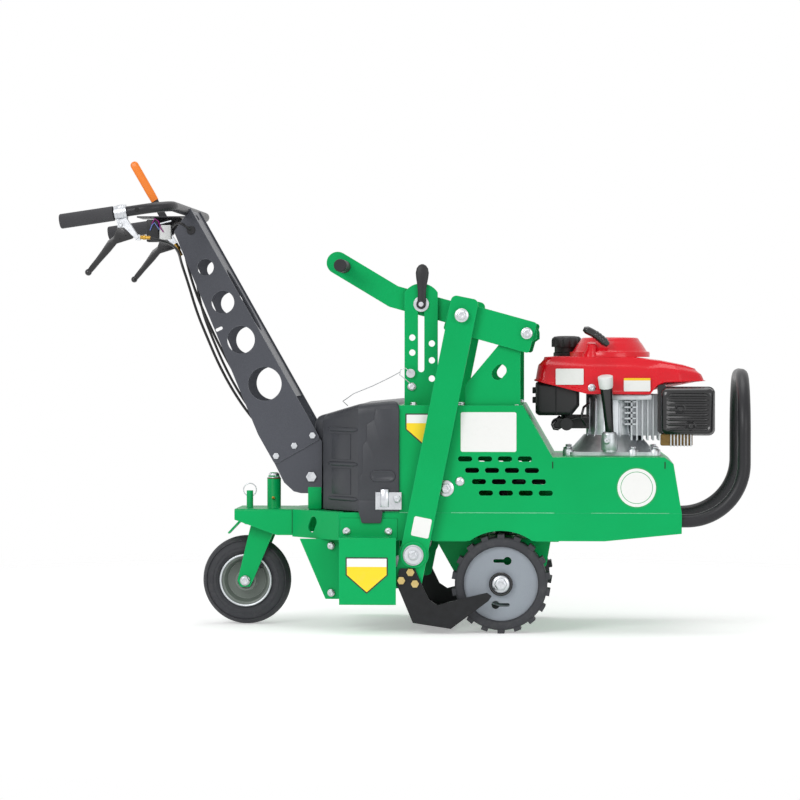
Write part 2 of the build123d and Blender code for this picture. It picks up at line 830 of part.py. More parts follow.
# Blade drive. The arms sink almost straight down as the rocker swings, so the drive shaft
# lies at the middle of that travel and the pitman rods point up at rest and down when cutting.
rocker_low = radians(rocker_swing - rocker_tilt)
arm_drop = rocker_reach * (sin(radians(rocker_tilt)) + sin(rocker_low))
drive_z = arm_c_z - arm_drop / 2
pitman_l = hypot(arm_c_x - drive_x - pitman_slack, arm_drop / 2)
pitman_angle = degrees(atan2(arm_drop / 2, arm_c_x - drive_x - pitman_slack))
pitman_bore = eccentric_r + pitman_clearance
print("pitman swing for the whole rocker swing, degrees", 2 * pitman_angle)

with BuildPart() as eccentric_shaft:
    add(cross_rod(drive_x, drive_z, -pitman_y - pitman_t, pitman_y + pitman_t, drive_shaft_r))
    for side in (-1, 1):
        with BuildSketch(Plane.XZ.offset(side * pitman_y - pitman_t / 2)):
            with Locations((drive_x, drive_z - eccentric_throw)):
                Circle(eccentric_r)
        extrude(amount=pitman_t)
eccentric_shaft.part.label = "eccentric_shaft"
export_step(eccentric_shaft.part, "parts/eccentric_shaft.step")

# Pitman rods: a ring round the eccentric, a flat rod and an eye on the arm's lower pin
pitman_x_dir = (-cos(radians(pitman_angle)), 0, -sin(radians(pitman_angle)))
pitman_plane = Plane(
    origin=(arm_c_x, -pitman_y + pitman_t / 2, arm_c_z), x_dir=pitman_x_dir, z_dir=(0, -1, 0)
)
with BuildPart() as pitman_rod:
    with BuildSketch(pitman_plane):
        with Locations((0, 0)):
            Circle(pitman_end_r)
        with Locations((pitman_l, 0)):
            Circle(pitman_bore + pitman_ring_wall)
        with Locations((pitman_l / 2, 0)):
            Rectangle(pitman_l, pitman_end_r * 1.3)
        with Locations((pitman_l, 0)):
            Circle(pitman_bore, mode=Mode.SUBTRACT)
        Circle(pivot_bolt_r + pin_fit, mode=Mode.SUBTRACT)
    extrude(amount=pitman_t)
pitman_rods = group("pitman_rods", pitman_rod.part, pitman_rod.part.mirror(Plane.XZ))
export_step(pitman_rods, "parts/pitman_rods.step")

# Gearbox hangers below the frame, and the floor plate that they hang from
hanger_outline = [
    (hanger_rear_x, skirt_bottom_z),
    (skirt_rear_x, skirt_bottom_z),
    (skirt_rear_x, skirt_bottom_z - floor_t),
    (hanger_front_x, skirt_bottom_z - floor_t),
    (hanger_front_x, hanger_bottom_z),
    (hanger_foot_x, hanger_bottom_z),
]
hanger_outer = hanger_y + hanger_t / 2
hanger = plate(hanger_outline, hanger_outer, hanger_t, [(drive_x, drive_z, drive_shaft_r + pin_fit)])
with BuildPart() as floor_plate:
    add(
        block(
            skirt_rear_x, hanger_front_x, -inner_half, inner_half, skirt_bottom_z - floor_t, skirt_bottom_z
        )
    )
    with BuildSketch(Plane.XY.offset(skirt_bottom_z)):
        with Locations((drive_x, 0)):
            Circle(input_shaft_r + 12)
    extrude(amount=-floor_t, mode=Mode.SUBTRACT)
gearbox_hangers = group("gearbox_hangers", hanger, hanger.mirror(Plane.XZ), floor_plate.part)
export_step(gearbox_hangers, "parts/gearbox_hangers.step")

# Gear case: a ribbed block round the shaft between the hangers, with its input neck on top
case_half_y = hanger_y - hanger_t / 2
case_top_z = skirt_bottom_z - floor_t
with BuildPart() as blade_gearbox:
    add(block(
        drive_x - gear_case_half, drive_x + gear_case_half, -70, 70, drive_z - gear_case_half, case_top_z
    ))
    fillet(edges().filter_by(Axis.Y), 12)
    add(cross_rod(drive_x, drive_z, -case_half_y, case_half_y, drive_shaft_r + 14))
    add(upright_rod(drive_x, 0, case_top_z - 1, case_top_z + 40, input_shaft_r + 10))
    add(cross_rod(drive_x, drive_z, -case_half_y - 1, case_half_y + 1, drive_shaft_r + pin_fit), mode=Mode.SUBTRACT)
    add(
        upright_rod(drive_x, 0, case_top_z - 10, case_top_z + 41, input_shaft_r + pin_fit),
        mode=Mode.SUBTRACT,
    )
blade_gearbox.part.label = "blade_gearbox"
export_step(blade_gearbox.part, "parts/blade_gearbox.step")

# Guard boxes over the pitman rods: open towards the frame and at the front
with BuildPart() as guard_box:
    add(block(box_rear_x, box_front_x, -box_half, -frame_half, box_bottom_z, skirt_bottom_z + 9))
    fillet(edges().filter_by(Axis.X).group_by(Axis.Y)[0], 4)
    add(
        block(
            box_rear_x + box_t, box_front_x + 1, -box_half + box_t, -frame_half + 1,
            box_bottom_z + box_t, skirt_bottom_z + 9 - box_t,
        ),
        mode=Mode.SUBTRACT,
    )
    add(
        block(
            box_front_x - box_lip_gap, box_front_x + 1, -box_half + box_t, -frame_half + 1,
            box_bottom_z - 1, skirt_bottom_z + 10,
        ),
        mode=Mode.SUBTRACT,
    )
    add(block(box_rear_x, box_front_x, -frame_half - box_t, -frame_half, skirt_bottom_z + 5, box_flange_z))
guard_boxes = group("guard_boxes", guard_box.part, guard_box.part.mirror(Plane.XZ))
export_step(guard_boxes, "parts/guard_boxes.step")

# Axle plates, transaxle case, axle, hubs and tyres
axle_plate_outline = [
    (57, skirt_bottom_z - 2),
    (312, skirt_bottom_z - 2),
    (302, 144),
    (wheel_x + 45, wheel_z - 34),
    (wheel_x - 45, wheel_z - 34),
    (101, 122),
]
axle_plate = plate(
    axle_plate_outline,
    axle_plate_y + axle_plate_t / 2,
    axle_plate_t,
    [(wheel_x, wheel_z, axle_r + pin_fit)],
)
with BuildPart() as drive_floor:
    add(block(57, cross_plate_mid_x, -inner_half, inner_half, skirt_bottom_z - 2, skirt_bottom_z + 2))
    with BuildSketch(Plane.XY.offset(skirt_bottom_z - 2)):
        with Locations((wheel_x, 0)):
            Circle(transaxle_half - 6)
        for side in (-1, 1):
            with Locations((wheel_x, side * (wheel_inner_y + tyre_width / 2))):
                Rectangle(150, tyre_width + 16)
    extrude(amount=4, mode=Mode.SUBTRACT)
axle_plates = group("axle_plates", axle_plate, axle_plate.mirror(Plane.XZ), drive_floor.part)
export_step(axle_plates, "parts/axle_plates.step")

with BuildPart() as transaxle:
    add(
        block(
            wheel_x - transaxle_half, wheel_x + transaxle_half, -62, 62, transaxle_bottom_z,
            skirt_bottom_z - 2,
        )
    )
    fillet(edges().filter_by(Axis.Y), 18)
    add(cross_rod(wheel_x, wheel_z, -axle_plate_y + axle_plate_t / 2, axle_plate_y - axle_plate_t / 2, 22))
    add(upright_rod(wheel_x, 0, skirt_bottom_z - 3, skirt_bottom_z + 46, input_shaft_r + 10))
    add(cross_rod(wheel_x, wheel_z, -axle_plate_y, axle_plate_y, axle_r + pin_fit), mode=Mode.SUBTRACT)
    add(
        upright_rod(wheel_x, 0, skirt_bottom_z - 14, skirt_bottom_z + 47, input_shaft_r + pin_fit),
        mode=Mode.SUBTRACT,
    )
transaxle.part.label = "transaxle"
export_step(transaxle.part, "parts/transaxle.step")

wheel_outer_y = wheel_inner_y + tyre_width
hub_face_y = wheel_outer_y - 12
axle_shaft = cross_rod(wheel_x, wheel_z, -hub_face_y - 18, hub_face_y + 18, axle_r)
axle_shaft.label = "axle_shaft"
export_step(axle_shaft, "parts/axle_shaft.step")

# Drive hubs: a pressed disc with two keyhole slots, a boss and a nut
with BuildPart() as drive_hub:
    with BuildSketch(Plane.XZ.offset(hub_face_y - hub_disc_t)):
        with Locations((wheel_x, wheel_z)):
            Circle(tyre_wall_r)
        with Locations((wheel_x + 14, wheel_z + 50), (wheel_x - 12, wheel_z - 46)):
            Circle(9, mode=Mode.SUBTRACT)
        with Locations((wheel_x, wheel_z + 50), (wheel_x + 2, wheel_z - 46)):
            SlotCenterToCenter(26, 8, mode=Mode.SUBTRACT)
    extrude(amount=hub_disc_t)
    add(cross_rod(wheel_x, wheel_z, -hub_face_y - 8, -hub_face_y + 30, hub_boss_r))
    add(cross_rod(wheel_x, wheel_z, -hub_face_y + hub_disc_t, -wheel_inner_y - 6, tyre_wall_r, tyre_wall_r - 3))
    add(cross_rod(wheel_x, wheel_z, -wheel_outer_y - 9, 0, axle_r), mode=Mode.SUBTRACT)
drive_hubs = group("drive_hubs", drive_hub.part, drive_hub.part.mirror(Plane.XZ))
export_step(drive_hubs, "parts/drive_hubs.step")

# Drive tyres: a round-shouldered ring with a ring of straight lugs
tyre_base_r = tyre_radius - tyre_lug_h
with BuildPart() as drive_tyre:
    with BuildSketch(Plane.XY):
        with Locations((tyre_base_r / 2 + tyre_wall_r / 2, wheel_inner_y + tyre_width / 2)):
            RectangleRounded(tyre_base_r - tyre_wall_r, tyre_width, 7)
    revolve(axis=Axis.Y)
    with BuildSketch(Plane.XZ.offset(-wheel_outer_y + 3)):
        with PolarLocations(tyre_radius - tyre_lug_h, tyre_lugs, start_angle=90):
            Rectangle(2 * tyre_lug_h, tyre_lug_w)
    extrude(amount=tyre_width - 6)
drive_tyre_at = drive_tyre.part.moved(Location((wheel_x, 0, wheel_z)))
drive_tyres = group("drive_tyres", drive_tyre_at, drive_tyre_at.mirror(Plane.XZ))
export_step(drive_tyres, "parts/drive_tyres.step")

# Caster arm: a folded channel behind the tail, open below, with head tube, lock tube and tab
arm_profile = [
    (arm_rear_x, skirt_top_z - arm_rear_drop),
    (arm_rear_x, skirt_top_z),
    (tail_rear_x, skirt_top_z),
    (tail_rear_x, skirt_bottom_z + 3),
    (kingpin_x + 14, skirt_bottom_z + 3),
]
with BuildPart() as caster_arm:
    with BuildSketch(Plane.XZ):
        with BuildLine():
            Polyline(*arm_profile, close=True)
        make_face()
    extrude(amount=arm_half, both=True)
    fillet(edges().filter_by(Axis.X).group_by(Axis.Z)[-1], 5)
    with BuildSketch(Plane.XY.offset(skirt_bottom_z)):
        with Locations(((arm_rear_x + sheet + tail_rear_x + 1) / 2, 0)):
            Rectangle(tail_rear_x - arm_rear_x - sheet + 1, 2 * (arm_half - sheet))
    extrude(amount=skirt_top_z - skirt_bottom_z - sheet, mode=Mode.SUBTRACT)
    with Locations((kingpin_x, 0, skirt_top_z - sheet - 1), (lock_pin_x, 0, skirt_top_z - sheet - 1)):
        Cylinder(
            lock_pin_r, sheet + 2, align=(Align.CENTER, Align.CENTER, Align.MIN), mode=Mode.SUBTRACT
        )
    add(upright_rod(kingpin_x, 0, fork_crown_z + 7, head_tube_top_z, head_tube_r))
    add(upright_rod(kingpin_x, 0, fork_crown_z, head_tube_top_z + 1, kingpin_r + pin_fit), mode=Mode.SUBTRACT)
    add(upright_rod(lock_pin_x, 0, skirt_top_z - 1, lock_tube_top_z, lock_tube_r))
    add(
        upright_rod(lock_pin_x, 0, skirt_top_z - 6, lock_tube_top_z + 1, lock_pin_r + pin_fit),
        mode=Mode.SUBTRACT,
    )
    with Locations((lock_pin_x, 0, lock_tube_top_z)):
        Box(3 * lock_tube_r, 2 * ring_wire_r + 1, 2 * (ring_r + lock_travel), mode=Mode.SUBTRACT)
    with BuildSketch(Plane.XZ):
        with BuildLine():
            Polyline(
                (arm_rear_x + sheet, skirt_top_z - sheet),
                (arm_rear_x + sheet + tab_t, skirt_top_z - sheet),
                (arm_rear_x + sheet + tab_t, skirt_top_z - arm_rear_drop - 7),
                (arm_rear_x - 20, skirt_bottom_z + 1),
                (arm_rear_x - 23, skirt_bottom_z + 4),
                (arm_rear_x + sheet, skirt_top_z - arm_rear_drop - 4),
                close=True,
            )
        make_face()
    extrude(amount=tab_w / 2, both=True)
caster_arm.part.label = "caster_arm"
export_step(caster_arm.part, "parts/caster_arm.step")

# Caster fork: kingpin, crown with its index hole, and two tapered legs
fork_rear_top = kingpin_x - 48
fork_front_top = kingpin_x + 10
leg_outline = [
    (fork_rear_top, fork_crown_z),
    (fork_front_top, fork_crown_z),
    (caster_x + fork_foot_r, caster_radius),
    (caster_x + fork_foot_r * 0.6, caster_radius - fork_foot_r * 0.8),
    (caster_x - fork_foot_r * 0.6, caster_radius - fork_foot_r * 0.8),
    (caster_x - fork_foot_r, caster_radius),
]
leg = plate(leg_outline, fork_half, fork_t, [(caster_x, caster_radius, caster_axle_r)])
with BuildPart() as caster_fork:
    add(block(kingpin_x - 66, kingpin_x + 14, -fork_half, fork_half, fork_crown_z, fork_crown_z + 6))
    fillet(edges().filter_by(Axis.Z).group_by(Axis.X)[0], 30)
    add(leg)
    add(leg.mirror(Plane.XZ))
    add(upright_rod(kingpin_x, 0, fork_crown_z + 5, head_tube_top_z + 3, kingpin_r))
    with BuildSketch(Plane.XY.offset(head_tube_top_z + 2)):
        with Locations((kingpin_x, 0)):
            Circle(13)
    extrude(amount=4)
    with BuildSketch(Plane.XY.offset(head_tube_top_z + 6)):
        with Locations((kingpin_x, 0)):
            RegularPolygon(9, 6)
    extrude(amount=7)
    add(upright_rod(lock_pin_x, 0, fork_crown_z - 1, fork_crown_z + 7, lock_pin_r + seat_gap), mode=Mode.SUBTRACT)
caster_fork.part.label = "caster_fork"
export_step(caster_fork.part, "parts/caster_fork.step")

# Caster axle bolt, rim and tyre
with BuildPart() as caster_axle:
    add(cross_rod(caster_x, caster_radius, -fork_half - 6, fork_half + 6, caster_axle_r))
    add(hex_bolt(caster_x, caster_radius, fork_half, 11, 7))
    add(hex_bolt(caster_x, caster_radius, fork_half, 11, 7).mirror(Plane.XZ))
caster_axle.part.label = "caster_axle"
export_step(caster_axle.part, "parts/caster_axle.step")

with BuildPart() as caster_rim:
    with BuildSketch(Plane.XY):
        with BuildLine():
            Polyline(
                (caster_axle_r + pin_fit, -34),
                (15, -34),
                (15, -14),
                (24, -6),
                (caster_rim_r - 14, -6),
                (caster_rim_r - 7, -24),
                (caster_rim_r, -26),
                (caster_rim_r, 26),
                (caster_rim_r - 7, 24),
                (caster_rim_r - 14, 0),
                (24, 0),
                (15, 14),
                (15, 34),
                (caster_axle_r + pin_fit, 34),
                close=True,
            )
        make_face()
    revolve(axis=Axis.Y)
caster_rim_at = caster_rim.part.moved(Location((caster_x, 0, caster_radius)))
caster_rim_at.label = "caster_rim"
export_step(caster_rim_at, "parts/caster_rim.step")

with BuildPart() as caster_tyre:
    with BuildSketch(Plane.XY):
        with BuildLine():
            Line((caster_rim_r, -26), (caster_rim_r, 26))
            Line((caster_rim_r, 26), (caster_rim_r + 12, caster_width / 2))
            ThreePointArc(
                (caster_rim_r + 12, caster_width / 2),
                (caster_radius, 0),
                (caster_rim_r + 12, -caster_width / 2),
            )
            Line((caster_rim_r + 12, -caster_width / 2), (caster_rim_r, -26))
        make_face()
    revolve(axis=Axis.Y)
caster_tyre_at = caster_tyre.part.moved(Location((caster_x, 0, caster_radius)))
caster_tyre_at.label = "caster_tyre"
export_step(caster_tyre_at, "parts/caster_tyre.step")

# Swivel lock: a pin inside the lock tube, pulled up by a ring that rides in the tube's slots
pin_low_z = fork_crown_z + 6 + 2
ring_z = lock_tube_top_z + 1.5
with BuildPart() as swivel_lock_pin:
    add(upright_rod(lock_pin_x, 0, pin_low_z, ring_z - ring_r + 4, lock_pin_r))
    with BuildSketch(Plane.YZ.offset(lock_pin_x - 2 * lock_pin_r)):
        with Locations((0, ring_z - ring_r)):
            Circle(ring_wire_r + 0.8)
    extrude(amount=4 * lock_pin_r, mode=Mode.SUBTRACT)
with BuildPart() as lock_ring:
    with BuildSketch(Plane.YZ.offset(lock_pin_x)):
        with Locations((0, ring_z - ring_r)):
            Circle(ring_wire_r)
    revolve(axis=Axis((lock_pin_x, 0, ring_z), (0, 1, 0)))
swivel_lock = group("swivel_lock", swivel_lock_pin.part, lock_ring.part)
export_step(swivel_lock, "parts/swivel_lock.step")


# Handle channel: two side plates with lightening holes and a front web with a long opening
channel_x_dir = (-cos(radians(channel_rake)), 0, sin(radians(channel_rake)))


def channel_plane(y_near):
    """Sketch plane along the handle: local x up the channel, local y towards the operator."""
    return Plane(origin=(channel_foot_x, -y_near, channel_foot_z), x_dir=channel_x_dir, z_dir=(0, -1, 0))


def on_channel(along, back):
    """X and Z of a point given along and across the channel's side."""
    x = channel_foot_x + along * channel_x_dir[0] - back * channel_x_dir[2]
    z = channel_foot_z + along * channel_x_dir[2] + back * channel_x_dir[0]
    return (x, z)


bar_corner_x, bar_top_z = on_channel(channel_length + bar_seat_up, bar_seat_back)
bar_room = cross_rod(bar_corner_x, bar_top_z, -channel_half - 1, channel_half + 1, bar_r)
channel_outline = [
    (0, 0),
    (channel_length, 0),
    (channel_length - channel_top_drop, channel_top_w),
    (channel_straight, channel_foot_w),
    (0, channel_foot_w),
]
channel_holes = [(460, 35.5, 18.5), (373, 40, 25.5), (280, 46, 31), (168, 48, 37.5)]
with BuildPart() as channel_side:
    with BuildSketch(channel_plane(channel_half - channel_t)):
        with BuildLine():
            Polyline(*channel_outline, close=True)
        make_face()
        fillet(vertices().group_by(Axis.X)[0], 8)
        for along, back, radius in channel_holes:
            with Locations((along, back)):
                Circle(radius, mode=Mode.SUBTRACT)
        for back in (11.7, 58.5, 105.3):
            with Locations((handle_bolt_row, back)):
                Circle(small_bolt_r, mode=Mode.SUBTRACT)
        with Locations((325, 77)):
            SlotOverall(17, 7, rotation=85, mode=Mode.SUBTRACT)
    extrude(amount=channel_t)
    add(bar_room, mode=Mode.SUBTRACT)
web_length = channel_length - web_bottom
with BuildPart() as channel_web:
    with BuildSketch(channel_plane(0)):
        with Locations((web_bottom + web_length / 2, web_inset + channel_t / 2)):
            Rectangle(web_length, channel_t)
    extrude(amount=channel_half - channel_t, both=True)
    web_face = Plane(
        origin=(channel_foot_x, 0, channel_foot_z),
        x_dir=channel_x_dir,
        z_dir=(sin(radians(channel_rake)), 0, cos(radians(channel_rake))),
    )
    with BuildSketch(web_face.offset(1)):
        with Locations((360, 0)):
            SlotOverall(160, 88)
        with Locations((channel_length - 18, 0)):
            SlotOverall(34, 14, rotation=90)
    extrude(amount=-20, mode=Mode.SUBTRACT)
    add(bar_room, mode=Mode.SUBTRACT)
handle_channel = group(
    "handle_channel", channel_side.part, channel_side.part.mirror(Plane.XZ), channel_web.part
)
export_step(handle_channel, "parts/handle_channel.step")

# Gussets inside the channel's foot, the posts that carry them and the bolts
foot_rear_x = channel_foot_x - channel_foot_w * sin(radians(channel_rake))
foot_rear_z = channel_foot_z - channel_foot_w * cos(radians(channel_rake))
gusset_outer = channel_half - channel_t
rise_x = 60 * channel_x_dir[0]
rise_z = 60 * channel_x_dir[2]
gusset_outline = [
    (foot_rear_x + rise_x, foot_rear_z + rise_z),
    (foot_rear_x, foot_rear_z),
    (-284, 323),
    (-262, gusset_bottom_z + 4),
    (-246, gusset_bottom_z),
    (gusset_front_x, gusset_bottom_z),
    (gusset_front_x, channel_foot_z - 6),
    (channel_foot_x + rise_x - 8, channel_foot_z + rise_z),
]
pivot_bolt_x = -222.5
pivot_bolt_z = 336.0


row = [on_channel(handle_bolt_row, back) for back in (11.7, 58.5, 105.3)]
gusset_holes = [(x, z, small_bolt_r) for x, z in row]
gusset = plate(gusset_outline, gusset_outer, gusset_t, gusset_holes)
with BuildPart() as post:
    add(block(post_x - post_w / 2, post_x + post_w / 2, gusset_t - gusset_outer,
              gusset_t + post_w - gusset_outer, skirt_top_z, gusset_bottom_z + 60))
handle_gussets = group("handle_gussets", gusset, gusset.mirror(Plane.XZ), post.part, post.part.mirror(Plane.XZ))
export_step(handle_gussets, "parts/handle_gussets.step")

with BuildPart() as handle_bolt_set:
    for x, z in row:
        add(hex_bolt(x, z, channel_half, small_head_r, small_head_h, small_bolt_r, channel_t + gusset_t))
    add(hex_bolt(pivot_bolt_x, pivot_bolt_z, gusset_outer, 12, 6))

# Handlebar: one tube in a U, across the channel's top and back to the two grips
bar_end_x = handle_rear_x + grip_r * sin(radians(bar_fall))
bar_end_z = bar_top_z - (bar_corner_x - bar_end_x) * tan(radians(bar_fall))
with BuildPart() as handlebar:
    with BuildLine() as bar_path:
        FilletPolyline(
            (bar_end_x, -bar_half, bar_end_z),
            (bar_corner_x, -bar_half, bar_top_z),
            (bar_corner_x, bar_half, bar_top_z),
            (bar_end_x, bar_half, bar_end_z),
            radius=bar_bend,
        )
    with BuildSketch(Plane(origin=bar_path.line @ 0, z_dir=bar_path.line % 0)):
        Circle(bar_r)
    sweep()
handlebar.part.label = "handlebar"
export_step(handlebar.part, "parts/handlebar.step")

# Foam grips over the bar's ends
grip_dir = (cos(radians(bar_fall)), 0, sin(radians(bar_fall)))
with BuildPart() as foam_grip:
    with BuildSketch(Plane(origin=(bar_end_x, -bar_half, bar_end_z), z_dir=grip_dir)):
        Circle(grip_r)
    extrude(amount=grip_length)
    fillet(edges().sort_by(Axis.X)[0], 4)
    with BuildSketch(Plane(origin=(bar_end_x, -bar_half, bar_end_z), z_dir=grip_dir)):
        Circle(bar_r)
    extrude(amount=grip_length, mode=Mode.SUBTRACT)
foam_grips = group("foam_grips", foam_grip.part, foam_grip.part.mirror(Plane.XZ))
export_step(foam_grips, "parts/foam_grips.step")

# Bumper: a tube hoop, legs inside the skirts, bent up and across in front of the engine
hoop_x = bumper_front_x - bumper_r
with BuildPart() as bumper:
    with BuildLine() as hoop_path:
        FilletPolyline(
            (skirt_front_x - bumper_leg_l, -bumper_half, bumper_leg_z),
            (hoop_x, -bumper_half, bumper_leg_z),
            (hoop_x, -bumper_half, bumper_top_z),
            (hoop_x, bumper_half, bumper_top_z),
            (hoop_x, bumper_half, bumper_leg_z),
            (skirt_front_x - bumper_leg_l, bumper_half, bumper_leg_z),
            radius=bumper_bend,
        )
    with BuildSketch(Plane(origin=hoop_path.line @ 0, z_dir=hoop_path.line % 0)):
        Circle(bumper_r)
    sweep()
bumper.part.label = "bumper"
export_step(bumper.part, "parts/bumper.step")

# Transmission cover: a moulded hood behind the tower, open in front and below
cover_plan = [
    (cover_front_x, -cover_half),
    (cover_shoulder_x, -cover_half),
    (cover_tail_x + 26, -cover_tail_half - 34),
    (cover_tail_x, -cover_tail_half),
]
with BuildPart() as transmission_cover:
    with BuildSketch(Plane.XY.offset(cover_bottom_z)):
        with BuildLine():
            Polyline(*cover_plan, *[(x, -y) for x, y in reversed(cover_plan)], close=True)
        make_face()
        fillet(vertices().group_by(Axis.X)[0], 24)
    extrude(amount=cover_top_z - cover_bottom_z)
    with BuildSketch(Plane.XZ):
        with BuildLine():
            Polyline(
                (cover_tail_x, cover_bottom_z),
                (cover_tail_x, cover_tail_top_z),
                (cover_shoulder_x + 40, cover_top_z),
                (cover_front_x, cover_top_z),
                (cover_front_x, cover_bottom_z),
                close=True,
            )
        make_face()
    extrude(amount=cover_half, both=True, mode=Mode.INTERSECT)
    fillet(edges().group_by(Axis.Z)[-1].filter_by(Axis.X), 18)
    offset(
        amount=-cover_t,
        openings=faces().sort_by(Axis.X)[-1:] + faces().sort_by(Axis.Z)[:1],
    )
    for side in (-1, 1):
        lip_low = min(side * cover_half, side * (cover_half - cover_t))
        add(
            block(
                cover_lip_rear_x, cover_lip_front_x, lip_low, lip_low + cover_t, cover_lip_z,
                cover_bottom_z + 2,
            )
        )
transmission_cover.part.label = "transmission_cover"
export_step(transmission_cover.part, "parts/transmission_cover.step")

# Cover clips on the housing side
with BuildPart() as cover_clip:
    add(block(-70, cover_front_x + 5, -cover_half - 4, -cover_half - seat_gap, 270, 308))
    add(block(cover_front_x + seat_gap, cover_front_x + 5, -cover_half - 4, -frame_half - seat_gap, 270, 308))
bolts_and_clips = group(
    "bolts_and_clips",
    handle_bolt_set.part,
    handle_bolt_set.part.mirror(Plane.XZ),
    cover_clip.part,
    cover_clip.part.mirror(Plane.XZ),
)
export_step(bolts_and_clips, "parts/bolts_and_clips.step")


def pulley(x, radius, z_centres):
    """Pulley with one V groove per belt plane, drawn as a half section and revolved."""
    low = z_centres[0] - pulley_w / 2
    points = [(input_shaft_r, low), (radius, low)]
    for z in z_centres:
        points += [
            (radius, z - pulley_groove / 2),
            (radius - belt_t, z - pulley_groove / 2 + 2),
            (radius - belt_t, z + pulley_groove / 2 - 2),
            (radius, z + pulley_groove / 2),
        ]
    high = z_centres[-1] + pulley_w / 2
    points += [(radius, high), (input_shaft_r, high)]
    with BuildPart() as body:
        with BuildSketch(Plane.XZ):
            with BuildLine():
                Polyline(*points, close=True)
            make_face()
        revolve(axis=Axis.Z)
    return body.part.moved(Location((x, 0, 0)))


crankshaft = group(
    "crankshaft",
    pulley(engine_x, engine_pulley_r, [lower_belt_z, upper_belt_z]),
    upright_rod(engine_x, 0, lower_belt_z - pulley_w / 2 - 8, deck_top_z + 2, input_shaft_r),
)
export_step(crankshaft, "parts/crankshaft.step")
gearbox_pulley = group(
    "gearbox_pulley",
    pulley(drive_x, gearbox_pulley_r, [upper_belt_z]),
    upright_rod(drive_x, 0, case_top_z - 9, upper_belt_z + pulley_w / 2 + 6, input_shaft_r),
)
export_step(gearbox_pulley, "parts/gearbox_pulley.step")
transaxle_pulley = group(
    "transaxle_pulley",
    pulley(wheel_x, transaxle_pulley_r, [lower_belt_z]),
    upright_rod(wheel_x, 0, skirt_bottom_z - 12, lower_belt_z + pulley_w / 2, input_shaft_r),
)
export_step(transaxle_pulley, "parts/transaxle_pulley.step")


def belt(x_rear, r_rear, x_front, r_front, z):
    """Closed belt round two pulleys: the hull of two circles with a smaller hull cut out."""
    with BuildPart() as body:
        for grow, cut in ((0.0, Mode.ADD), (seat_gap - belt_t, Mode.SUBTRACT)):
            with BuildSketch(Plane.XY.offset(z - belt_w / 2 + 3)):
                with Locations((x_rear, 0)):
                    Circle(r_rear + grow)
                with Locations((x_front, 0)):
                    Circle(r_front + grow)
                make_hull()
            extrude(amount=belt_w - 6, mode=cut)
    return body.part


drive_belts = group(
    "drive_belts",
    belt(drive_x, gearbox_pulley_r, engine_x, engine_pulley_r, upper_belt_z),
    belt(wheel_x, transaxle_pulley_r, engine_x, engine_pulley_r, lower_belt_z),
)
export_step(drive_belts, "parts/drive_belts.step")

# Engine: flanged base, crankcase pillar, finned cylinder and the dipstick's tube
with BuildPart() as crankcase:
    with BuildSketch(Plane.XY.offset(deck_top_z)):
        with Locations((block_x, 0)):
            RectangleRounded(2 * flange_half_x, 2 * flange_half_y, 30)
    extrude(amount=flange_h)
    with BuildSketch(Plane.XY.offset(deck_top_z + flange_h)):
        with Locations((block_x, 0)):
            Circle(flange_half_y)
    with BuildSketch(Plane.XY.offset(crankcase_foot_z)):
        with Locations((block_x, 0)):
            Circle(crankcase_r + 5)
    loft()
    add(upright_rod(block_x, 0, crankcase_foot_z, shroud_bottom_z, crankcase_r))
    add(block(block_x + 42, block_x + 107, -40, 50, 428, shroud_bottom_z))
    for fin in range(6):
        fin_x = block_x + 42 + fin * 12
        add(block(fin_x, fin_x + 4, -62, 72, 418, shroud_bottom_z))
    add(block(block_x + 107, block_x + 166, -50, 60, 432, shroud_bottom_z - 4))
    add(block(575, 605, muffler_y + 44, -50, 455, 485))
    add(upright_rod(dipstick_foot[0], dipstick_foot[1], deck_top_z + flange_h, dipstick_foot[2] - 2, 15))
    add(
        upright_rod(engine_x, 0, deck_top_z - 1, deck_top_z + 6, input_shaft_r + 3), mode=Mode.SUBTRACT
    )
dipstick_tube = leaning_rod(dipstick_foot, dipstick_head, dipstick_r, dipstick_r - 2.5)
engine_block = group("engine_block", crankcase.part, dipstick_tube)
export_step(engine_block, "parts/engine_block.step")

# Shroud over the flywheel and the cylinder
with BuildPart() as engine_shroud:
    with BuildSketch(Plane.XY.offset(shroud_bottom_z)):
        with Locations(((shroud_rear_x + shroud_front_x + 3) / 2, 0)):
            RectangleRounded(shroud_front_x + 3 - shroud_rear_x, 2 * shroud_half, shroud_corner_r)
    extrude(amount=shroud_top_z - shroud_bottom_z)
    with BuildSketch(Plane.XZ):
        with BuildLine():
            Polyline(
                (shroud_rear_x, 548),
                (shroud_rear_x + 14, shroud_top_z),
                (532, shroud_top_z),
                (597, 590),
                (638, 577),
                (shroud_front_x, 560),
                (shroud_front_x + 3, 544),
                (552, 542),
                (536, shroud_bottom_z),
                (385, shroud_bottom_z),
                close=True,
            )
        make_face()
    extrude(amount=shroud_half, both=True, mode=Mode.INTERSECT)
engine_shroud.part.label = "engine_shroud"
export_step(engine_shroud.part, "parts/engine_shroud.step")

# Recoil starter: a low cone on the shroud with a guide for the rope, and its grip
pull_dir = (sin(radians(pull_lean)), 0, cos(radians(pull_lean)))
pull_y = -pull_grip_y - pull_grip_t / 2


def on_pull(along):
    """Point on the rope's line, measured out from the middle of the grip."""
    return (pull_grip_x + along * pull_dir[0], pull_y, pull_grip_z + along * pull_dir[2])


